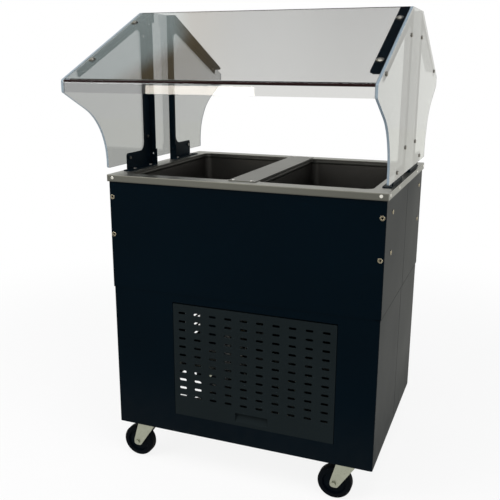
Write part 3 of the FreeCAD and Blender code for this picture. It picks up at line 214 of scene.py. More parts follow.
class Finish(Surroundings):
    """One procedural material and the nodes in it."""

    def __init__(self, name):
        self.material = bpy.data.materials.new(name)
        self.material.use_nodes = True
        super().__init__(self.material.node_tree)
        self.shader = self.tree.nodes.new("ShaderNodeBsdfPrincipled")
        self.output = self.tree.nodes.new("ShaderNodeOutputMaterial")
        self.surface = Value(self, self.shader.outputs["BSDF"])
        self.cover(self.surface)

    def cover(self, surface):
        """Makes this the surface that the material shows."""
        self.join(surface, self.output.inputs["Surface"])
        return self

    def set(self, **inputs):
        """Fills the main shader's sockets: Base_Color stands for Base Color."""
        for key, item in inputs.items():
            self.join(item, self.shader.inputs[key.replace("_", " ")])
        return self

    def place(self, centre=(0, 0, 0), scale=(1, 1, 1)):
        """Object coordinates, centred and stretched."""
        coords = self.node("ShaderNodeTexCoord", output="Object")
        moved = self.node("ShaderNodeVectorMath", {"operation": "SUBTRACT"}, {0: coords, 1: centre})
        return self.node("ShaderNodeVectorMath", {"operation": "MULTIPLY"}, {0: moved, 1: scale})

    def axes(self, centre=(0, 0, 0)):
        """X, Y and Z of the object coordinates as three values."""
        return self.parts(self.place(centre))

    def facing(self, axis):
        """How far the surface faces along an axis of the piece, from -1 to 1."""
        return self.parts(self.node("ShaderNodeTexCoord", output="Normal"))["XYZ".index(axis)]

    def noise(self, scale, stretch=(1, 1, 1), detail=3.0, roughness=0.55):
        """Noise from 0 to 1 that follows the piece."""
        inputs = {"Vector": self.place(scale=stretch), "Scale": scale, "Detail": detail,
                  "Roughness": roughness}
        return self.node("ShaderNodeTexNoise", None, inputs)

    def bump(self, height, strength, distance):
        """Bump from a height, fed to the main shader."""
        inputs = {"Height": height, "Strength": strength, "Distance": distance}
        return self.set(Normal=self.node("ShaderNodeBump", None, inputs))


def shade(colour, factor):
    """A colour made lighter or darker."""
    return tuple(min(channel * factor, 1.0) for channel in colour)


# ---------------- finishes


def seam_line(distance):
    """1 on a seam, fading within 2 mm of it: the mask of the painted shade in the seams."""
    return abs(distance).ramp(0.0008, 0.0020, 1.0, 0.0)


def body_paint(name, colour, gloss=0.34, dusty=0.10, seams=False):
    """Thin oven enamel: faint orange peel, cloudy gloss, dust low down and painted shade in the seams on
    the sides.
    """
    finish = Finish(name)
    cloud = finish.noise(3.0, detail=2.0)
    peel = finish.noise(420.0, detail=2.0)
    x, y, height = finish.axes()
    dust = height.ramp(0.10, 0.34, 1.0, 0.0) * finish.noise(26.0, detail=5.0)
    tone = finish.blend(cloud, shade(colour, 0.8), shade(colour, 1.25))
    tone = finish.blend(dust * dusty, tone, (0.045, 0.043, 0.038))
    rough = cloud * 0.10 + dust * 0.12 + gloss
    if seams:
        upper_wall, lower_wall = 0.385, 0.39
        lap_shade = seam_line(height - SEAM_HEIGHT) * (abs(x) > upper_wall)
        seam = lap_shade + seam_line(y - SIDE_SEAM) * (abs(x) > lower_wall)
        # Painted shade in the lap and the upright seam: the paint there is darkened to a tenth of its
        # colour.
        tone = finish.blend(seam, tone, shade(colour, 0.1))
        rough = rough + seam * 0.5
    finish.set(Base_Color=tone, Roughness=rough, Specular_IOR_Level=0.022)
    return finish.bump(peel, 0.035, 0.0004)


def stainless(name, colour, roughness=0.27, grain=(3.0, 260.0, 260.0)):
    """Brushed stainless steel with its grain along one axis."""
    finish = Finish(name)
    brush = finish.noise(9.0, grain, detail=4.0, roughness=0.7)
    smear = finish.noise(5.0)
    finish.set(Metallic=1.0, Base_Color=finish.blend(brush, shade(colour, 0.82), shade(colour, 1.12)))
    finish.set(Roughness=brush * 0.14 + smear * 0.10 + roughness)
    return finish.bump(brush, 0.05, 0.0002)


def deck_stainless(colour):
    """Brushed deck: grain along each rim, with painted shade on its edge band (less on the end faces than
    on the front and back), a painted highlight along the top of the band and a painted shade line below the
    hem.
    """
    finish = Finish("deck_brushed_steel")
    x, _, z = finish.axes()
    along_x = finish.noise(8.0, (2.5, 300.0, 300.0), detail=4.0, roughness=0.7)
    along_y = finish.noise(8.0, (300.0, 2.5, 300.0), detail=4.0, roughness=0.7)
    end_rim = abs(x) > 0.354
    brush = along_x * (1 - end_rim) + along_y * end_rim
    smear = finish.noise(4.0)
    lying = abs(finish.facing("Z")).ramp(0.5, 0.9)
    # Painted light and shade by facing: the upright band is darker than the top, and the end faces are
    # lighter than the front and back.
    band = finish.blend(abs(finish.facing("X")) > 0.5, shade(colour, 0.35), shade(colour, 0.66))
    # Painted highlight along the top 2 mm of the band.
    rolled_edge_highlight = z.ramp(0.8990, 0.9008)
    band = finish.blend(rolled_edge_highlight, band, shade(colour, 0.85))
    tone = finish.blend(lying, band, colour)
    bright = finish.blend(brush * 0.3, tone, shade(colour, 0.7))
    # Painted shade below the hem: the steel there is darkened to about a sixth of its colour.
    above_hem_shade = z.ramp(0.8835, 0.887, 0.55, 1.0)
    finish.set(Metallic=1.0, Base_Color=finish.blend(above_hem_shade, shade(colour, 0.16), bright))
    finish.set(Roughness=brush * 0.12 + smear * 0.10 + 0.27)
    return finish.bump(brush, 0.05, 0.0002)


def ringed_brass(places, bore_radius=0.0031):
    """Bright brass rim with painted shade, near black, in the bore: the bore is found from the middle of
    each rivet.
    """
    finish = Finish("ring_brass")
    cloud = finish.noise(40.0, detail=4.0)
    bore_shade_masks = []
    for point, outward in places:
        x, y, z = finish.axes(tuple(point))
        across = (y * y + z * z) if abs(outward[0]) > 0.5 else (x * x + z * z)
        near = (abs(x) + abs(y) + abs(z)) < 0.02
        bore_shade_masks.append((across.root() < bore_radius) * near)
    # Painted shade: the bore is coloured near black and made non-metallic.
    bore = sum(bore_shade_masks[1:], bore_shade_masks[0])
    tone = finish.blend(cloud, (0.38, 0.33, 0.23), (0.56, 0.50, 0.38))
    finish.set(Base_Color=finish.blend(bore, tone, (0.004, 0.003, 0.002)), Metallic=1 - bore)
    finish.set(Roughness=cloud * 0.16 + 0.16)
    return finish.bump(cloud, 0.04, 0.0002)


def liner_stainless(side):
    """Well pan: dull drawn steel with painted shade deepening towards its floor, streaked with water marks.
    """
    finish = Finish("well_pan_" + side)
    _, _, z = finish.axes()
    streak = finish.noise(7.0, (40.0, 40.0, 2.0), detail=4.0)
    scale_marks = finish.noise(30.0, detail=6.0, roughness=0.65)
    # Painted shade: the steel darkens from the rim down towards the well's floor.
    rise = z.ramp(0.70, 0.90)
    dark = finish.blend(rise, (0.022, 0.021, 0.019), (0.050, 0.048, 0.044))
    finish.set(Metallic=0.85, Base_Color=finish.blend(streak * 0.3, dark, (0.075, 0.068, 0.058)))
    finish.set(Roughness=scale_marks * 0.22 + 0.34)
    return finish.bump(streak, 0.06, 0.0004)


def powder_coat(name, colour, roughness=0.42, level=0.3):
    """Fine textured powder coat."""
    finish = Finish(name)
    grain = finish.noise(900.0, detail=2.0)
    wear = finish.noise(12.0, detail=4.0)
    finish.set(Base_Color=finish.blend(wear, shade(colour, 0.8), shade(colour, 1.3)))
    finish.set(Roughness=grain * 0.12 + roughness, Specular_IOR_Level=level)
    return finish.bump(grain, 0.12, 0.0003)


def plated(name, colour, roughness=0.3):
    """Zinc or nickel plating, a little cloudy and spotted."""
    finish = Finish(name)
    cloud = finish.noise(40.0, detail=4.0)
    spots = finish.noise(220.0, detail=2.0).ramp(0.58, 0.7)
    tone = finish.blend(cloud, shade(colour, 0.78), shade(colour, 1.15))
    finish.set(Metallic=1.0, Base_Color=finish.blend(spots * 0.4, tone, shade(colour, 0.5)))
    finish.set(Roughness=cloud * 0.2 + roughness)
    return finish.bump(cloud, 0.05, 0.0003)


def clear_acrylic(name, colour, cut_edge_highlight, bend=None):
    """Clear sheet with faint wipe marks, a painted highlight on its polished cut edges and, on the shield,
    a painted shade line along the bend.
    """
    finish = Finish(name)
    wipe = finish.noise(60.0, (1.0, 14.0, 14.0))
    finish.set(Base_Color=finish.blend(wipe * 0.5, colour, shade(colour, 1.03)))
    finish.set(Roughness=wipe * 0.006 + 0.006, Transmission_Weight=1.0, IOR=1.49)
    shadow = finish.node("ShaderNodeBsdfTransparent", None, {"Color": shade(colour, 1.1)})
    sheet = finish.mix(finish.seen_by("Shadow"), finish.surface, shadow)
    endways = abs(finish.facing("X"))
    if bend:
        cut = endways.ramp(0.5, 0.6)
        tilt = abs(finish.facing("Z"))
        # Painted shade along the bend: an opaque near-black surface in place of the clear sheet.
        bend_shade_mask = tilt.ramp(0.34, 0.40) * tilt.ramp(0.66, 0.72, 1.0, 0.0) * (endways < 0.5)
        sheet = finish.mix(bend_shade_mask, sheet, edge_sheen(finish, bend, 0.02))
    else:
        cut = endways.ramp(0.4, 0.5, 1.0, 0.0)
    # Painted highlight on the cut edges: an opaque light blue-grey surface in place of the clear sheet.
    return finish.cover(finish.mix(cut, sheet, edge_sheen(finish, cut_edge_highlight)))


def edge_sheen(finish, colour, level=0.4):
    """Opaque satin surface for a cut or bent edge, where the sheet no longer shows what is behind it: its
    colour is a painted highlight on a cut edge and painted shade along a bend.
    """
    grain = finish.noise(300.0, detail=2.0)
    tone = finish.blend(grain, shade(colour, 0.85), shade(colour, 1.1))
    inputs = {"Base Color": tone, "Roughness": 0.3, "Specular IOR Level": level}
    return finish.node("ShaderNodeBsdfPrincipled", None, inputs)


def moulded(name, colour, roughness=0.4):
    """Moulded plastic or rubber with a fine grain."""
    finish = Finish(name)
    grain = finish.noise(500.0)
    cloud = finish.noise(14.0)
    finish.set(Base_Color=finish.blend(cloud, shade(colour, 0.85), shade(colour, 1.2)))
    finish.set(Roughness=grain * 0.16 + roughness, Specular_IOR_Level=0.4)
    return finish.bump(grain, 0.08, 0.0004)


def wheel_rubber(place, centre):
    """Caster wheel: dark moulded core and a black tyre with a parting line and floor dust."""
    finish = Finish("caster_tyre_" + place)
    x, y, z = finish.axes(centre)
    radius = (x * x + z * z).root()
    tyre = radius.ramp(0.0335, 0.0345)
    line = abs(y).ramp(0.0004, 0.0010, 1.0, 0.0) * tyre
    dust = finish.noise(120.0, detail=5.0) * radius.ramp(0.044, 0.050)
    core = finish.blend(finish.noise(60.0), (0.0010, 0.0026, 0.0050), (0.0016, 0.0040, 0.0068))
    rubber = finish.blend(dust * 0.3, (0.0016, 0.0028, 0.0044), (0.012, 0.012, 0.011))
    finish.set(Base_Color=finish.blend(tyre, core, rubber))
    finish.set(Roughness=tyre * 0.18 + dust * 0.2 + 0.36, Specular_IOR_Level=0.03)
    return finish.bump(line + dust * 0.4, 0.25, 0.0005)


def foam(name, colour):
    """Rigid foam with open cells and a cloudy tone."""
    finish = Finish(name)
    cells = finish.node("ShaderNodeTexVoronoi", None, {"Vector": finish.place(), "Scale": 600.0})
    cloud = finish.noise(9.0, detail=4.0)
    finish.set(Base_Color=finish.blend(cloud, shade(colour, 0.8), shade(colour, 1.1)), Roughness=0.9)
    return finish.bump(cells, 0.4, 0.0008)


def copper(name, colour):
    """Drawn copper tube with brown tarnish."""
    finish = Finish(name)
    tarnish = finish.noise(24.0, detail=5.0)
    tone = finish.blend(tarnish.ramp(0.4, 0.65), colour, (0.22, 0.09, 0.045))
    finish.set(Metallic=1.0, Base_Color=tone)
    finish.set(Roughness=tarnish * 0.3 + 0.22)
    return finish.bump(tarnish, 0.04, 0.0003)


def finned(name, colour):
    """Thin aluminium fins, shown by fine upright lines between the modelled ones."""
    finish = Finish(name)
    _, y, _ = finish.axes()
    lines = abs((y * 560.0).fraction() - 0.5).ramp(0.2, 0.35)
    dust = finish.noise(40.0, detail=4.0)
    finish.set(Metallic=0.8, Base_Color=finish.blend(dust, shade(colour, 0.6), colour))
    finish.set(Roughness=dust * 0.2 + 0.35)
    return finish.bump(lines, 0.4, 0.0006)


# ---------------- modelling


def add(primitive, name, **sizes):
    """Adds a primitive with its place in its mesh, ready to be shaped."""
    bpy.ops.object.select_all(action="DESELECT")
    getattr(bpy.ops.mesh, "primitive_" + primitive + "_add")(**sizes)
    settle(bpy.context.object)
    bpy.context.object.name = name
    return bpy.context.object


def block(name, size, centre):
    """Adds a block of a size about a point."""
    piece = add("cube", name, size=1.0)
    with shaping(piece):
        swell(size, (0, 0, 0))
        bpy.ops.transform.translate(value=centre)
    return piece


def settle(piece):
    """Puts a piece's place and turn into its mesh."""
    choose(piece)
    bpy.ops.object.transform_apply(location=True, rotation=True, scale=True)


def choose(*pieces):
    """Selects these pieces alone; the first is the active one."""
    bpy.ops.object.select_all(action="DESELECT")
    for piece in pieces:
        piece.select_set(True)
    bpy.context.view_layer.objects.active = pieces[0]


@contextmanager
def shaping(piece):
    """Edit mode on one piece."""
    choose(piece)
    bpy.ops.object.mode_set(mode="EDIT")
    yield
    bpy.ops.object.mode_set(mode="OBJECT")


def pick(piece, test, kind="FACE"):
    """Selects the faces or edges that pass a test on their middle and direction."""
    bpy.ops.mesh.select_mode(type=kind)
    bpy.ops.mesh.select_all(action="DESELECT")
    mesh = bmesh.from_edit_mesh(piece.data)
    if kind == "FACE":
        for face in mesh.faces:
            face.select_set(bool(test(face.calc_center_median(), face.normal)))
    else:
        for edge in mesh.edges:
            start, end = (corner.co for corner in edge.verts)
            edge.select_set(bool(test((start + end) / 2, (end - start).normalized())))
    bmesh.update_edit_mesh(piece.data)


def round_edges(piece, test, width, segments):
    """Bevels the edges that pass a test."""
    pick(piece, test, "EDGE")
    bpy.ops.mesh.bevel(offset=width, segments=segments, affect="EDGES")


def round_rim(piece, level, width, segments):
    """Bevels the level edges that lie at a height or above it."""
    round_edges(piece, lambda middle, line: abs(line.z) < 0.1 and middle.z > level - 1e-5, width, segments)


def round_along(piece, axis, width, segments):
    """Bevels the edges that run along an axis."""
    round_edges(piece, lambda middle, line: abs(line[axis]) > 0.9, width, segments)


def grow(move):
    """Extrudes what is selected by a move."""
    bpy.ops.mesh.extrude_region_move(TRANSFORM_OT_translate={"value": move})


def swell(factor, centre):
    """Scales what is selected about a point."""
    bpy.ops.transform.resize(value=factor, center_override=centre)


def face_outwards():
    """Turns every face of the piece in hand outwards."""
    bpy.ops.mesh.select_all(action="SELECT")
    bpy.ops.mesh.normals_make_consistent(inside=False)


def apply_modifier(piece, kind, **settings):
    """Adds a modifier, sets it up and applies it."""
    choose(piece)
    modifier = piece.modifiers.new(kind.lower(), kind)
    for key, setting in settings.items():
        setattr(modifier, key, setting)
    bpy.ops.object.modifier_apply(modifier=modifier.name)


def smooth(piece, degrees=32.0):
    """Smooth shading that keeps the sharper edges."""
    choose(piece)
    bpy.ops.object.shade_smooth_by_angle(angle=math.radians(degrees))


def carve(piece, cutter):
    """Cuts one model out of another and throws the cutter away."""
    apply_modifier(piece, "BOOLEAN", object=cutter, operation="DIFFERENCE", solver="EXACT")
    choose(cutter)
    bpy.ops.object.delete()


def merge(pieces, name):
    """Joins pieces into one and gives it a name."""
    choose(*pieces)
    if len(pieces) > 1:
        bpy.ops.object.join()
    pieces[0].name = name
    pieces[0].data.name = name
    return pieces[0]


def finish_piece(piece, material, body=CABINET, replaced=()):
    """Gives a piece its material, what carries it and the nodes that it stands for."""
    settle(piece)
    piece.data.materials.clear()
    piece.data.materials.append(material)
    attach(piece, body)
    for node in replaced:
        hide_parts(node)
    return piece


def set_out(model, places, name):
    """Copies a model to every (point, direction), each turned a step further, and joins the copies."""
    step = 1.3
    copies = []
    for index, (point, outward) in enumerate(places):
        copy = model.copy()
        copy.data = model.data.copy()
        bpy.context.scene.collection.objects.link(copy)
        turn = Vector(outward).to_track_quat("Z", "Y").to_matrix().to_4x4()
        copy.matrix_world = Matrix.Translation(point) @ turn @ Matrix.Rotation(index * step, 4, "Z")
        copies.append(copy)
    choose(*copies)
    bpy.ops.object.transform_apply(location=True, rotation=True, scale=True)
    choose(model)
    bpy.ops.object.delete()
    return merge(copies, name)


def solids(node):
    """Lowest and highest corners of each separate solid of a construction piece."""
    mesh = bmesh.new()
    mesh.from_mesh(frame["nodes"][node].data)
    bmesh.ops.remove_doubles(mesh, verts=mesh.verts, dist=1e-6)
    waiting = set(mesh.verts)
    boxes = []
    while waiting:
        reached = [waiting.pop()]
        for corner in reached:
            for edge in corner.link_edges:
                other = edge.other_vert(corner)
                if other in waiting:
                    waiting.discard(other)
                    reached.append(other)
        points = [corner.co for corner in reached]
        boxes.append(tuple(Vector([side(point[axis] for point in points) for axis in range(3)])
                           for side in (min, max)))
    mesh.free()
    return sorted(boxes, key=lambda box: tuple(round(value, 4) for value in box[0]))


# ---------------- fasteners


def cross_recess(radius, top, depth):
    """Cutter for a cross recess: a small block drawn out four ways and tapered below."""
    slot = radius * 0.15
    cutter = block("cross_cutter", (2 * slot, 2 * slot, 2 * depth), (0, 0, top))
    with shaping(cutter):
        for x, y in ((1, 0), (-1, 0), (0, 1), (0, -1)):
            pick(cutter, lambda middle, normal: normal.x * x + normal.y * y > 0.9
                 and abs(middle.x * y) + abs(middle.y * x) < slot)
            grow((x * radius * 0.38, y * radius * 0.38, 0))
        pick(cutter, lambda middle, normal: normal.z < -0.9)
        swell((0.6, 0.6, 1.0), (0, 0, top - depth))
    return cutter


def rod(name, radius, low, high, vertices):
    """Adds an upright cylinder between two heights."""
    return add("cylinder", name, vertices=vertices, radius=radius, depth=high - low,
               location=(0, 0, (low + high) / 2))


def pan_head_screw(name, radius, height, shank, length, washer=(0.0, 0.0)):
    """Domed screw head with a cross recess, on its shank and a washer, if any: the face is at Z = 0."""
    left_below = 0.0005
    recess = min(bpy.context.scene.salad_bar_sizes.screw_recess, height - left_below)
    washer_radius, base = washer
    screw = rod(name, radius, base, base + height, 28)
    with shaping(screw):
        pick(screw, lambda middle, normal: normal.z < -0.9)
        bpy.ops.mesh.inset(thickness=radius - shank)
        grow((0, 0, -length - base))
        round_rim(screw, base + height, height * 0.62, 5)
    carve(screw, cross_recess(radius, base + height, recess))
    parts = [screw]
    if base:
        dish = 0.0004
        plate = rod("washer", washer_radius, 0.0, base, 32)
        with shaping(plate):
            round_rim(plate, base, base * 0.4, 2)
            pick(plate, lambda middle, normal: normal.z > 0.9)
            bpy.ops.mesh.inset(thickness=washer_radius - radius - 0.0006)
            bpy.ops.mesh.inset(thickness=dish, depth=-dish)
        parts.append(plate)
    screw = merge(parts, name)
    smooth(screw)
    return screw


def hex_nut(across, height, top, name="nut"):
    """Hexagon nut with rounded corners, whose upper face is at Z = top."""
    nut = rod(name, across / math.sqrt(3), top - height, top, 6)
    with shaping(nut):
        pick(nut, lambda middle, normal: abs(normal.z) > 0.9)
        bpy.ops.mesh.inset(thickness=across * 0.09)
        round_along(nut, 2, across * 0.06, 2)
    return nut


def thread(radius, low, high, pitch):
    """Threaded end: a rod drawn down from high in rings that sink and swell by turns."""
    step = pitch / 2
    root = 0.86
    level = high - step
    end = rod("thread", radius, level, high, 16)
    factor = root
    with shaping(end):
        while level - step >= low:
            pick(end, lambda middle, normal: normal.z < -0.9)
            grow((0, 0, -step))
            level -= step
            swell((factor, factor, 1.0), (0, 0, level))
            factor = 1 / factor
    return end


def ring_rivet(radius, height, bore, depth):
    """Tubular rivet with a rolled rim round its open bore."""
    rivet = rod("ring_rivet", radius, 0.0, height, 36)
    with shaping(rivet):
        pick(rivet, lambda middle, normal: normal.z > 0.9)
        bpy.ops.mesh.inset(thickness=radius - bore)
        grow((0, 0, -depth - height))
        round_rim(rivet, height, height * 0.7, 4)
    smooth(rivet, 50.0)
    return rivet


def face_places(node, head):
    """Point and direction of each fastener of a node: its face lies a head's height inside the solid."""
    places = []
    for low, high in solids(node):
        point = (low + high) / 2
        size = high - low
        axis = max(range(3), key=lambda index: abs(size[index] - size[index - 1]) +
                   abs(size[index] - size[index - 2]))
        sign = 1 if axis == 2 else math.copysign(1, point[axis])
        outward = Vector((0, 0, 0))
        outward[axis] = sign
        point[axis] = (high if sign > 0 else low)[axis] - sign * head
        places.append((point, outward))
    return places


def nutted_screw(name, length, nut_face, tip, washer=(0.0, 0.0)):
    """Pan-head screw of 5 mm with a hexagon nut under nut_face and its thread down to the tip."""
    screw = pan_head_screw(name, GUARD_HEAD_RADIUS, GUARD_HEAD_HEIGHT, 0.0022, length, washer)
    nut = hex_nut(0.008, 0.004, nut_face)
    end = thread(0.0025, tip, nut_face - 0.0005, 0.0009)
    return merge([screw, nut, end], name)


def fit_fasteners(node, model, places, name, finish):
    """Sets a fastener out and lets the copies stand for the construction ones."""
    finish_piece(set_out(model, places, name), finish.material, replaced=(node,))


class SALADBAR_OT_deck_screws(bpy.types.Operator):
    """Turn the screws of the deck band and divider into pan heads with cross recesses"""
    bl_idname = "saladbar.deck_screws"
    bl_label = "Deck screws"

    def execute(self, context):
        head = 0.0014
        screw = pan_head_screw("deck_screw", 0.0045, head, 0.0024, 0.004)
        steel = plated("deck_screw_steel", (0.70, 0.69, 0.66), 0.16)
        fit_fasteners("deck_screws", screw, face_places("deck_screws", head), "deck_screw_heads", steel)
        return {"FINISHED"}


class SALADBAR_OT_shell_rivets(bpy.types.Operator):
    """Roll the rims of the tubular rivets in the body"""
    bl_idname = "saladbar.shell_rivets"
    bl_label = "Shell rivets"

    def execute(self, context):
        head = 0.0016
        places = face_places("shell_rivets", head)
        rivet = ring_rivet(0.0068, head, bore=0.0030, depth=0.002)
        brass = ringed_brass(places)
        fit_fasteners("shell_rivets", rivet, places, "shell_ring_rivets", brass)
        return {"FINISHED"}


class SALADBAR_OT_panel_screws(bpy.types.Operator):
    """Screw the end panels to the brackets: pan heads outside, hexagon nuts and threads inside"""
    bl_idname = "saladbar.panel_screws"
    bl_label = "Panel screws"

    def execute(self, context):
        screw = nutted_screw("panel_screw", length=0.010, nut_face=-0.009, tip=-0.014)
        places = face_places("panel_screws", GUARD_HEAD_HEIGHT)
        steel = plated("panel_screw_steel", (0.20, 0.19, 0.17), 0.2)
        fit_fasteners("panel_screws", screw, places, "panel_screw_sets", steel)
        return {"FINISHED"}


class SALADBAR_OT_shield_screws(bpy.types.Operator):
    """Screw the shield to the arms: dished washers, pan heads, hexagon nuts and threads"""
    bl_idname = "saladbar.shield_screws"
    bl_label = "Shield screws"

    def execute(self, context):
        normal = Vector((0, -math.sin(GUARD_SLOPE), math.cos(GUARD_SLOPE)))
        rise = normal * 0.00675
        places = [((low + high) / 2 + rise, normal) for low, high in solids("shield_washers")]
        screw = nutted_screw("shield_screw", length=0.011, nut_face=-0.0105, tip=-0.0155,
                             washer=(0.008, 0.0012))
        steel = plated("shield_screw_steel", (0.34, 0.33, 0.30), 0.2)
        fit_fasteners("shield_screws", screw, places, "shield_screw_sets", steel)
        return {"FINISHED"}


class SALADBAR_OT_foot_screws(bpy.types.Operator):
    """Screw the bracket feet down with pan heads"""
    bl_idname = "saladbar.foot_screws"
    bl_label = "Foot screws"

    def execute(self, context):
        screw = pan_head_screw("foot_screw", GUARD_HEAD_RADIUS, 0.0026, 0.0025, 0.008)
        places = face_places("foot_screws", GUARD_HEAD_HEIGHT)
        steel = plated("foot_screw_steel", (0.30, 0.29, 0.27), 0.22)
        fit_fasteners("foot_screws", screw, places, "foot_screw_heads", steel)
        return {"FINISHED"}


class SALADBAR_OT_caster_bolts(bpy.types.Operator):
    """Bolt the casters up with chamfered heads, nuts and threaded ends"""
    bl_idname = "saladbar.caster_bolts"
    bl_label = "Caster bolts"

    def execute(self, context):
        across = 0.013
        head = hex_nut(across, height=0.005, top=0.005, name="bolt_head")
        nut = hex_nut(across, height=0.0065, top=0.0145)
        end = thread(radius=0.004, low=0.0046, high=0.022, pitch=0.0015)
        bolt = merge([head, nut, end], "caster_bolt")
        places = [(Vector(((low.x + high.x) / 2, (low.y + high.y) / 2, low.z)), (0, 0, 1))
                  for low, high in solids("caster_bolts")]
        plating = plated("bolt_zinc", (0.42, 0.42, 0.38), 0.3)
        fit_fasteners("caster_bolts", bolt, places, "caster_bolt_sets", plating)
        return {"FINISHED"}


# ---------------- well fittings and seam strips


class SALADBAR_OT_well_trims(bpy.types.Operator):
    """Fit a thin breaker strip round the top of each well"""
    bl_idname = "saladbar.well_trims"
    bl_label = "Well trims"

    def execute(self, context):
        sheet = context.scene.salad_bar_sizes.edge_trim
        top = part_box("deck_top")[1].z - 0.0065
        flange = 0.0101
        corner = 0.022
        depth = 0.009
        for side, _ in SIDES:
            low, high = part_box("well_liner_" + side)
            centre = (low + high) / 2
            half = (high - low) / 2
            strip = add("plane", "well_trim_" + side, size=2.0)
            with shaping(strip):
                swell((half.x - flange, half.y - flange, 1.0), (0, 0, 0))
                bpy.ops.transform.translate(value=(centre.x, centre.y, top))
                bpy.ops.mesh.select_all(action="SELECT")
                bpy.ops.mesh.bevel(offset=corner, segments=7, affect="VERTICES")
                bpy.ops.mesh.select_all(action="SELECT")
                bpy.ops.mesh.delete(type="ONLY_FACE")
                bpy.ops.mesh.select_mode(type="EDGE")
                bpy.ops.mesh.select_all(action="SELECT")
                grow((0, 0, -depth))
                swell((0.997, 0.998, 1.0), (centre.x, centre.y, top - depth))
                face_outwards()
            apply_modifier(strip, "SOLIDIFY", thickness=sheet, offset=-1.0)
            apply_modifier(strip, "BEVEL", width=sheet * 0.3, segments=2, limit_method="ANGLE")
            smooth(strip)
            # Steel darkened to near black: painted shade below the deck's rim.
            steel = stainless("trim_shaded_steel_" + side, (0.055, 0.055, 0.050), 0.25)
            finish_piece(strip, steel.material)
        return {"FINISHED"}


class SALADBAR_OT_strainers(bpy.types.Operator):
    """Drop a slotted strainer over each drain"""
    bl_idname = "saladbar.strainers"
    bl_label = "Drain strainers"

    def execute(self, context):
        radius = context.scene.salad_bar_sizes.strainer_radius
        thick = 0.0012
        rise = 0.0008
        bars = 12
        for (side, _), (low, high) in zip(SIDES, solids("drain_fittings")):
            centre = (low + high) / 2
            ring = rod("strainer_ring", radius, -thick / 2, thick / 2, 48)
            with shaping(ring):
                pick(ring, lambda middle, normal: abs(normal.z) > 0.9)
                bpy.ops.mesh.inset(thickness=radius * 0.16)
                bpy.ops.mesh.bridge_edge_loops()
                face_outwards()
            apply_modifier(ring, "BEVEL", width=thick / 3, segments=2, limit_method="ANGLE")
            boss = rod("strainer_boss", radius * 0.2, -thick, thick, 32)
            with shaping(boss):
                round_rim(boss, thick, 0.0016, 4)
            parts = [ring, boss]
            for index in range(bars):
                bar = block("strainer_bar", (radius * 0.74, 0.0026, 0.0010), (radius * 0.53, 0, 0))
                with shaping(bar):
                    round_along(bar, 0, 0.0003, 2)
                bar.matrix_world = Matrix.Rotation(math.tau * index / bars, 4, "Z")
                settle(bar)
                parts.append(bar)
            piece = merge(parts, "drain_strainer_" + side)
            piece.location = (centre.x, centre.y, high.z + rise)
            smooth(piece)
            steel = plated("strainer_steel_" + side, (0.40, 0.40, 0.38), 0.25)
            finish_piece(piece, steel.material)
        return {"FINISHED"}


class SALADBAR_OT_seam_strips(bpy.types.Operator):
    """Back the upright seams of the lower shell with a folded joint strip"""
    bl_idname = "saladbar.seam_strips"
    bl_label = "Seam strips"

    def execute(self, context):
        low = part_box("lower_shell_front")[0]
        shell_and_gap = 0.0021
        sheet = 0.0012
        width = 0.030
        height = SEAM_HEIGHT - low.z - 0.012
        strips = []
        for _, sign in SIDES:
            middle_x = sign * (abs(low.x) - shell_and_gap - sheet / 2)
            strip = block("seam_strip", (sheet, width, height),
                          (middle_x, SIDE_SEAM, (SEAM_HEIGHT + low.z) / 2))
            with shaping(strip):
                pick(strip, lambda middle, normal: abs(normal.y) > 0.9)
                bpy.ops.mesh.extrude_faces_move(TRANSFORM_OT_shrink_fatten={"value": sheet})
                pick(strip, lambda middle, normal: normal.x * sign < -0.9
                     and abs(middle.y - SIDE_SEAM) > width / 2 + 0.0005)
                grow((-sign * 0.004, 0, 0))
                round_along(strip, 2, 0.0003, 2)
            strips.append(strip)
        piece = merge(strips, "seam_strips")
        smooth(piece)
        paint = body_paint("seam_strip_enamel", tuple(context.scene.salad_bar_colours.body))
        finish_piece(piece, paint.material)
        return {"FINISHED"}


# ---------------- controls


def printed_words(words, size, place, name):
    """Flat raised lettering that faces the front, centred on a place."""
    bpy.ops.object.select_all(action="DESELECT")
    bpy.ops.object.text_add()
    text = bpy.context.object
    text.data.body = words
    text.data.size = size
    text.data.align_x = "CENTER"
    text.data.align_y = "CENTER"
    text.data.extrude = 0.00015
    bpy.ops.object.convert(target="MESH")
    letter = bpy.context.object
    letter.name = name
    letter.matrix_world = Matrix.Translation(place) @ Matrix.Rotation(math.pi / 2, 4, "X")
    settle(letter)
    return letter


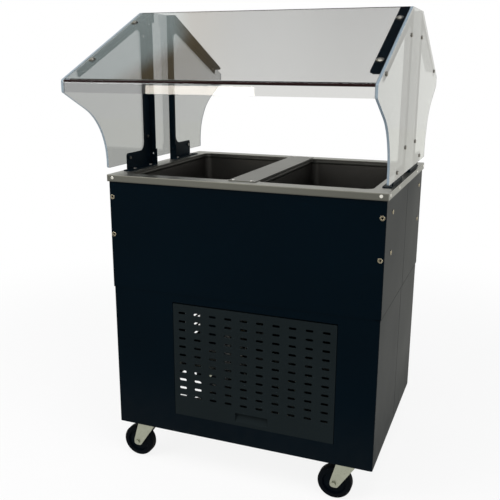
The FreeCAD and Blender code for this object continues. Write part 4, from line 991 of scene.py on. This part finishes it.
class SALADBAR_OT_control_marks(bpy.types.Operator):
    """Print the dial's numbers round the knob's turn, its pointer line and the switch's marks"""
    bl_idname = "saladbar.control_marks"
    bl_label = "Control marks"

    def execute(self, context):
        dial = next(joint for joint in frame["joints"] if joint["child"] == "knob")
        low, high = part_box("temperature_knob")
        knob = (low + high) / 2
        centre = Vector((knob.x, dial["pos_m"][1] - PRINT_LIFT, knob.z))
        coldest = 7
        marks = []
        for number in range(coldest + 1):
            angle = math.radians(90 + dial["range_deg"][1] * (coldest - number) / coldest)
            reach = Vector((math.cos(angle), 0, math.sin(angle))) * 0.0255
            marks.append(printed_words(str(number), 0.0062, centre + reach, "dial_number"))
            tick = block("dial_tick", (0.0028, 0.0003, 0.0007), (0.0200, 0, 0))
            with shaping(tick):
                round_along(tick, 1, 0.0002, 2)
            tick.matrix_world = Matrix.Translation(centre) @ Matrix.Rotation(-angle, 4, "Y")
            settle(tick)
            marks.append(tick)
        white = moulded("printed_white", (0.72, 0.72, 0.70), 0.5)
        finish_piece(merge(marks, "dial_marks"), white.material)
        length = 0.0085
        pointer = block("knob_pointer", (0.0014, 0.0004, length),
                        (knob.x, low.y - PRINT_LIFT, high.z - length))
        with shaping(pointer):
            round_along(pointer, 1, 0.0006, 3)
        finish_piece(pointer, white.material, "knob")
        low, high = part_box("power_switch")
        middle_x = (low.x + high.x) / 2
        away = 0.0075
        signs = [printed_words("I", 0.006, (middle_x, centre.y, high.z + away), "switch_on"),
                 printed_words("O", 0.006, (middle_x, centre.y, low.z - away), "switch_off")]
        finish_piece(merge(signs, "switch_marks"), white.material)
        return {"FINISHED"}


class SALADBAR_OT_box_screws(bpy.types.Operator):
    """Screw the control box's feet down to the base"""
    bl_idname = "saladbar.box_screws"
    bl_label = "Box screws"

    def execute(self, context):
        low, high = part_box("control_box")
        foot_top = low.z + 0.0025
        inset = 0.007
        places = [(Vector((x, y, foot_top)), (0, 0, 1)) for x in (low.x + inset, high.x - inset)
                  for y in (high.y - 0.046, high.y - 0.012)]
        screw = pan_head_screw("box_screw", 0.0038, 0.0018, 0.0018, 0.002)
        steel = plated("box_screw_steel", (0.45, 0.45, 0.42), 0.25)
        finish_piece(set_out(screw, places, "control_box_screws"), steel.material)
        return {"FINISHED"}


# ---------------- scene


def look_at_salad_bar():
    """Camera where the photograph was taken from: in front, to the right and above the deck."""
    eye = (0.704, -2.030, 1.208)
    turned_left, looking_down, rolled = 21.18, 14.74, 0.24
    data = bpy.data.cameras.new("camera")
    data.lens = 50.76
    data.sensor_width = 36.0
    data.clip_end = 60.0
    camera = bpy.data.objects.new("camera", data)
    bpy.context.scene.collection.objects.link(camera)
    turn = Matrix.Rotation(math.radians(turned_left), 4, "Z")
    tilt = Matrix.Rotation(math.radians(90.0 - looking_down), 4, "X")
    roll = Matrix.Rotation(math.radians(rolled), 4, "Z")
    camera.matrix_world = Matrix.Translation(eye) @ turn @ tilt @ roll
    bpy.context.scene.camera = camera


def soft_light(name, place, target, size, power, colour=(1.0, 1.0, 1.0), height=None):
    """Softbox aimed at a point, square unless it has a height of its own."""
    data = bpy.data.lights.new(name, "AREA")
    data.shape = "RECTANGLE"
    data.size = size
    data.size_y = height or size
    data.energy = power
    data.color = colour
    lamp = bpy.data.objects.new(name, data)
    aim = (Vector(target) - Vector(place)).to_track_quat("-Z", "Y")
    lamp.matrix_world = Matrix.Translation(place) @ aim.to_matrix().to_4x4()
    bpy.context.scene.collection.objects.link(lamp)


def background_rays(finish):
    """1 for the rays that see the backdrop: from the camera, through glass or off a shiny surface."""
    return (finish.seen_by("Camera") + finish.seen_by("Glossy") + finish.seen_by("Transmission")) > 0.5


def pale_floor():
    """White floor that keeps the object's shadow close by and washes out further off."""
    finish = Finish("pale_floor")
    finish.set(Base_Color=(0.88, 0.88, 0.88), Roughness=0.9, Specular_IOR_Level=0.0)
    tint = finish.blend(finish.seen_by("Glossy"), (1.0, 1.0, 1.0), (1.0, 1.0, 0.93))
    white = finish.node("ShaderNodeEmission", None, {"Color": tint, "Strength": 1.0})
    x, y, _ = finish.axes()
    washed = (x * x + y * y).root().ramp(1.2, 2.6, 0.86, 1.0)
    return finish.cover(finish.mix(background_rays(finish) * washed, finish.surface, white))


def light_studio(world):
    """White backdrop over a plain grey ambient light, with a dark ceiling and a card for shiny surfaces."""
    bpy.context.scene.world = world
    world.use_nodes = True
    room = Surroundings(world.node_tree)
    across, _, height = room.parts(room.node("ShaderNodeTexCoord", output="Generated"))
    mirrored = room.seen_by("Glossy")
    card = room.blend(across.ramp(-0.46, -0.43), (0.62, 0.72, 0.70), (0.34, 0.28, 0.20))
    card = room.blend(height.ramp(0.648, 0.668), card, (0.26, 0.21, 0.13))
    ceiling = room.blend(across.ramp(-0.44, -0.36), card, (0.22, 0.22, 0.22))
    ceiling = room.blend(across.ramp(-0.34, -0.22), ceiling, (0.012, 0.014, 0.016))
    backdrop = room.blend(height.ramp(0.42, 0.60) * mirrored, (1.0, 1.0, 1.0), ceiling)
    backdrop = room.blend(mirrored * height.ramp(0.30, 0.45, 1.0, 0.0), backdrop, (1.0, 1.0, 0.95))
    colour = room.blend(background_rays(room), (0.42, 0.42, 0.43), backdrop)
    sky = room.node("ShaderNodeBackground", None, {"Color": colour, "Strength": 1.0})
    output = room.tree.nodes.new("ShaderNodeOutputWorld")
    room.join(sky, output.inputs["Surface"])


class SALADBAR_OT_stage(bpy.types.Operator):
    """Lay the pale floor, hang the lamps and set the camera"""
    bl_idname = "saladbar.stage"
    bl_label = "Stage"

    def execute(self, context):
        floor = add("plane", "floor", size=24.0)
        floor.data.materials.append(pale_floor().material)
        light_studio(bpy.data.worlds.new("studio"))
        soft_light("key_lamp", (-2.4, -2.4, 3.0), (0, 0, 0.8), 2.2, 60.0)
        soft_light("fill_lamp", (2.8, -1.6, 2.6), (0, 0, 0.7), 2.4, 34.0)
        soft_light("top_lamp", (0.3, -1.2, 3.6), (0, 0, 0.9), 2.4, 45.0)
        soft_light("warm_card", (-1.47, -3.56, 1.05), (-1.47, 0, 1.05), 0.84, 6.5, (1.0, 0.92, 0.80), 0.3)
        context.scene.view_settings.view_transform = "Standard"
        look_at_salad_bar()
        return {"FINISHED"}


class SALADBAR_OT_finishes(bpy.types.Operator):
    """Give every construction piece its finish"""
    bl_idname = "saladbar.finishes"
    bl_label = "Finishes"

    def execute(self, context):
        colours = context.scene.salad_bar_colours
        # The cabinet's enamel carries painted shade along its seams.
        paint = body_paint("cabinet_enamel", tuple(colours.body), seams=True)
        panel = body_paint("grille_enamel", tuple(colours.grille), 0.38, 0.0)
        deck = deck_stainless(tuple(colours.stainless))
        cover = stainless("divider_brushed_steel", shade(tuple(colours.stainless), 0.47),
                          grain=(260.0, 3.0, 260.0))
        black = powder_coat("bracket_powder_coat", (0.0018, 0.0058, 0.0095), level=0.03)
        galvanised = plated("galvanised_steel", (0.42, 0.43, 0.42), 0.4)
        zinc = plated("zinc_plate", (0.36, 0.37, 0.31), 0.30)
        acrylic = tuple(colours.acrylic)
        # Painted highlight colour for the cut edges, and painted shade colour for the shield's bend.
        edge_highlight_colour = (0.24, 0.30, 0.35)
        # One acrylic in two copies: painted shade on the end panels, set darker, and painted light on the
        # shield, lifted by about a quarter.
        shaded_end_panel_sheet = clear_acrylic("clear_end_panel", (0.385, 0.395, 0.405), edge_highlight_colour)
        bend_shade_colour = (0.012, 0.004, 0.004)
        lit_shield_sheet = clear_acrylic("clear_shield", shade(acrylic, 1.26), edge_highlight_colour, bend_shade_colour)
        tube = copper("copper_tube", (0.60, 0.30, 0.17))
        fins = finned("condenser_fins", (0.55, 0.55, 0.56))
        enamel = powder_coat("black_enamel", (0.008, 0.008, 0.008), 0.25)
        black_plastic = moulded("black_plastic", (0.016, 0.016, 0.016))
        white_pipe = moulded("white_pipe", (0.62, 0.62, 0.58), 0.35)
        brass = plated("brass", (0.50, 0.40, 0.22), 0.24)
        bright = plated("bright_screw", (0.62, 0.61, 0.58), 0.2)
        rubber = moulded("washer_rubber", (0.012, 0.012, 0.012), 0.55)
        names = {
            "deck_top": deck, "divider_cover": cover, "drain_fittings": galvanised,
            "upper_shell_front": paint, "upper_shell_rear": paint,
            "lower_shell_front": paint, "lower_shell_rear": paint, "grille_panel": panel,
            "inner_frame": galvanised, "base_pan": galvanised, "unit_base": galvanised,
            "fan_shroud": galvanised, "front_shield": lit_shield_sheet, "end_panel_left": shaded_end_panel_sheet,
            "end_panel_right": shaded_end_panel_sheet, "insulation": foam("insulation_foam", (0.70, 0.56, 0.30)),
            "cooling_coils": tube, "suction_line": tube, "liquid_line": tube, "discharge_line": tube,
            "condenser_coil": fins, "fan_rotor": plated("fan_aluminium", (0.5, 0.5, 0.5), 0.35),
            "compressor": enamel, "fan_motor": enamel, "control_box": black_plastic,
            "temperature_knob": moulded("knob_plastic", (0.02, 0.02, 0.022), 0.3),
            "power_switch": moulded("rocker_plastic", (0.02, 0.10, 0.045), 0.25),
            "drain_pipe": white_pipe, "drain_valve": brass,
            "valve_lever": moulded("dipped_handle", (0.42, 0.02, 0.015), 0.3),
            "shield_washers": rubber, "shell_rivets": brass, "deck_screws": bright,
            "panel_screws": bright, "shield_screws": bright, "foot_screws": bright,
            "caster_bolts": zinc,
        }
        for side, _ in SIDES:
            names["well_liner_" + side] = liner_stainless(side)
        for place in CORNERS:
            names["bracket_" + place] = black
            for kind in ("plate", "fork", "axle"):
                names["caster_" + kind + "_" + place] = zinc
            low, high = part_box("caster_wheel_" + place)
            names["caster_wheel_" + place] = wheel_rubber(place, tuple((low + high) / 2))
        for name, node in frame["nodes"].items():
            node.data.materials.clear()
            node.data.materials.append(names[name].material)
        return {"FINISHED"}


class SALADBAR_PT_panel(bpy.types.Panel):
    """Lists the steps that dress the salad bar"""
    bl_idname = "SALADBAR_PT_panel"
    bl_label = "Salad Bar"
    bl_space_type = "VIEW_3D"
    bl_region_type = "UI"
    bl_category = "Salad Bar"

    def draw(self, context):
        for group in (context.scene.salad_bar_sizes, context.scene.salad_bar_colours):
            for key in group.__annotations__:
                self.layout.prop(group, key)
        for operator in OPERATORS:
            self.layout.operator(operator.bl_idname)


OPERATORS = (
    SALADBAR_OT_stage, SALADBAR_OT_finishes, SALADBAR_OT_deck_screws, SALADBAR_OT_shell_rivets,
    SALADBAR_OT_panel_screws, SALADBAR_OT_shield_screws, SALADBAR_OT_foot_screws,
    SALADBAR_OT_caster_bolts, SALADBAR_OT_well_trims, SALADBAR_OT_strainers,
    SALADBAR_OT_seam_strips, SALADBAR_OT_control_marks, SALADBAR_OT_box_screws)
CLASSES = (SaladBarSizes, SaladBarColours, *OPERATORS, SALADBAR_PT_panel)


def register():
    """Adds the classes and their settings to Blender."""
    for kind in CLASSES:
        bpy.utils.register_class(kind)
    bpy.types.Scene.salad_bar_sizes = bpy.props.PointerProperty(type=SaladBarSizes)
    bpy.types.Scene.salad_bar_colours = bpy.props.PointerProperty(type=SaladBarColours)


def unregister():
    """Takes them out again."""
    del bpy.types.Scene.salad_bar_colours
    del bpy.types.Scene.salad_bar_sizes
    for kind in reversed(CLASSES):
        bpy.utils.unregister_class(kind)


def main():
    """Runs every step in order."""
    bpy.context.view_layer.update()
    register()
    for operator in OPERATORS:
        module, name = operator.bl_idname.split(".")
        getattr(getattr(bpy.ops, module), name)()


if __name__ == "__main__":
    main()
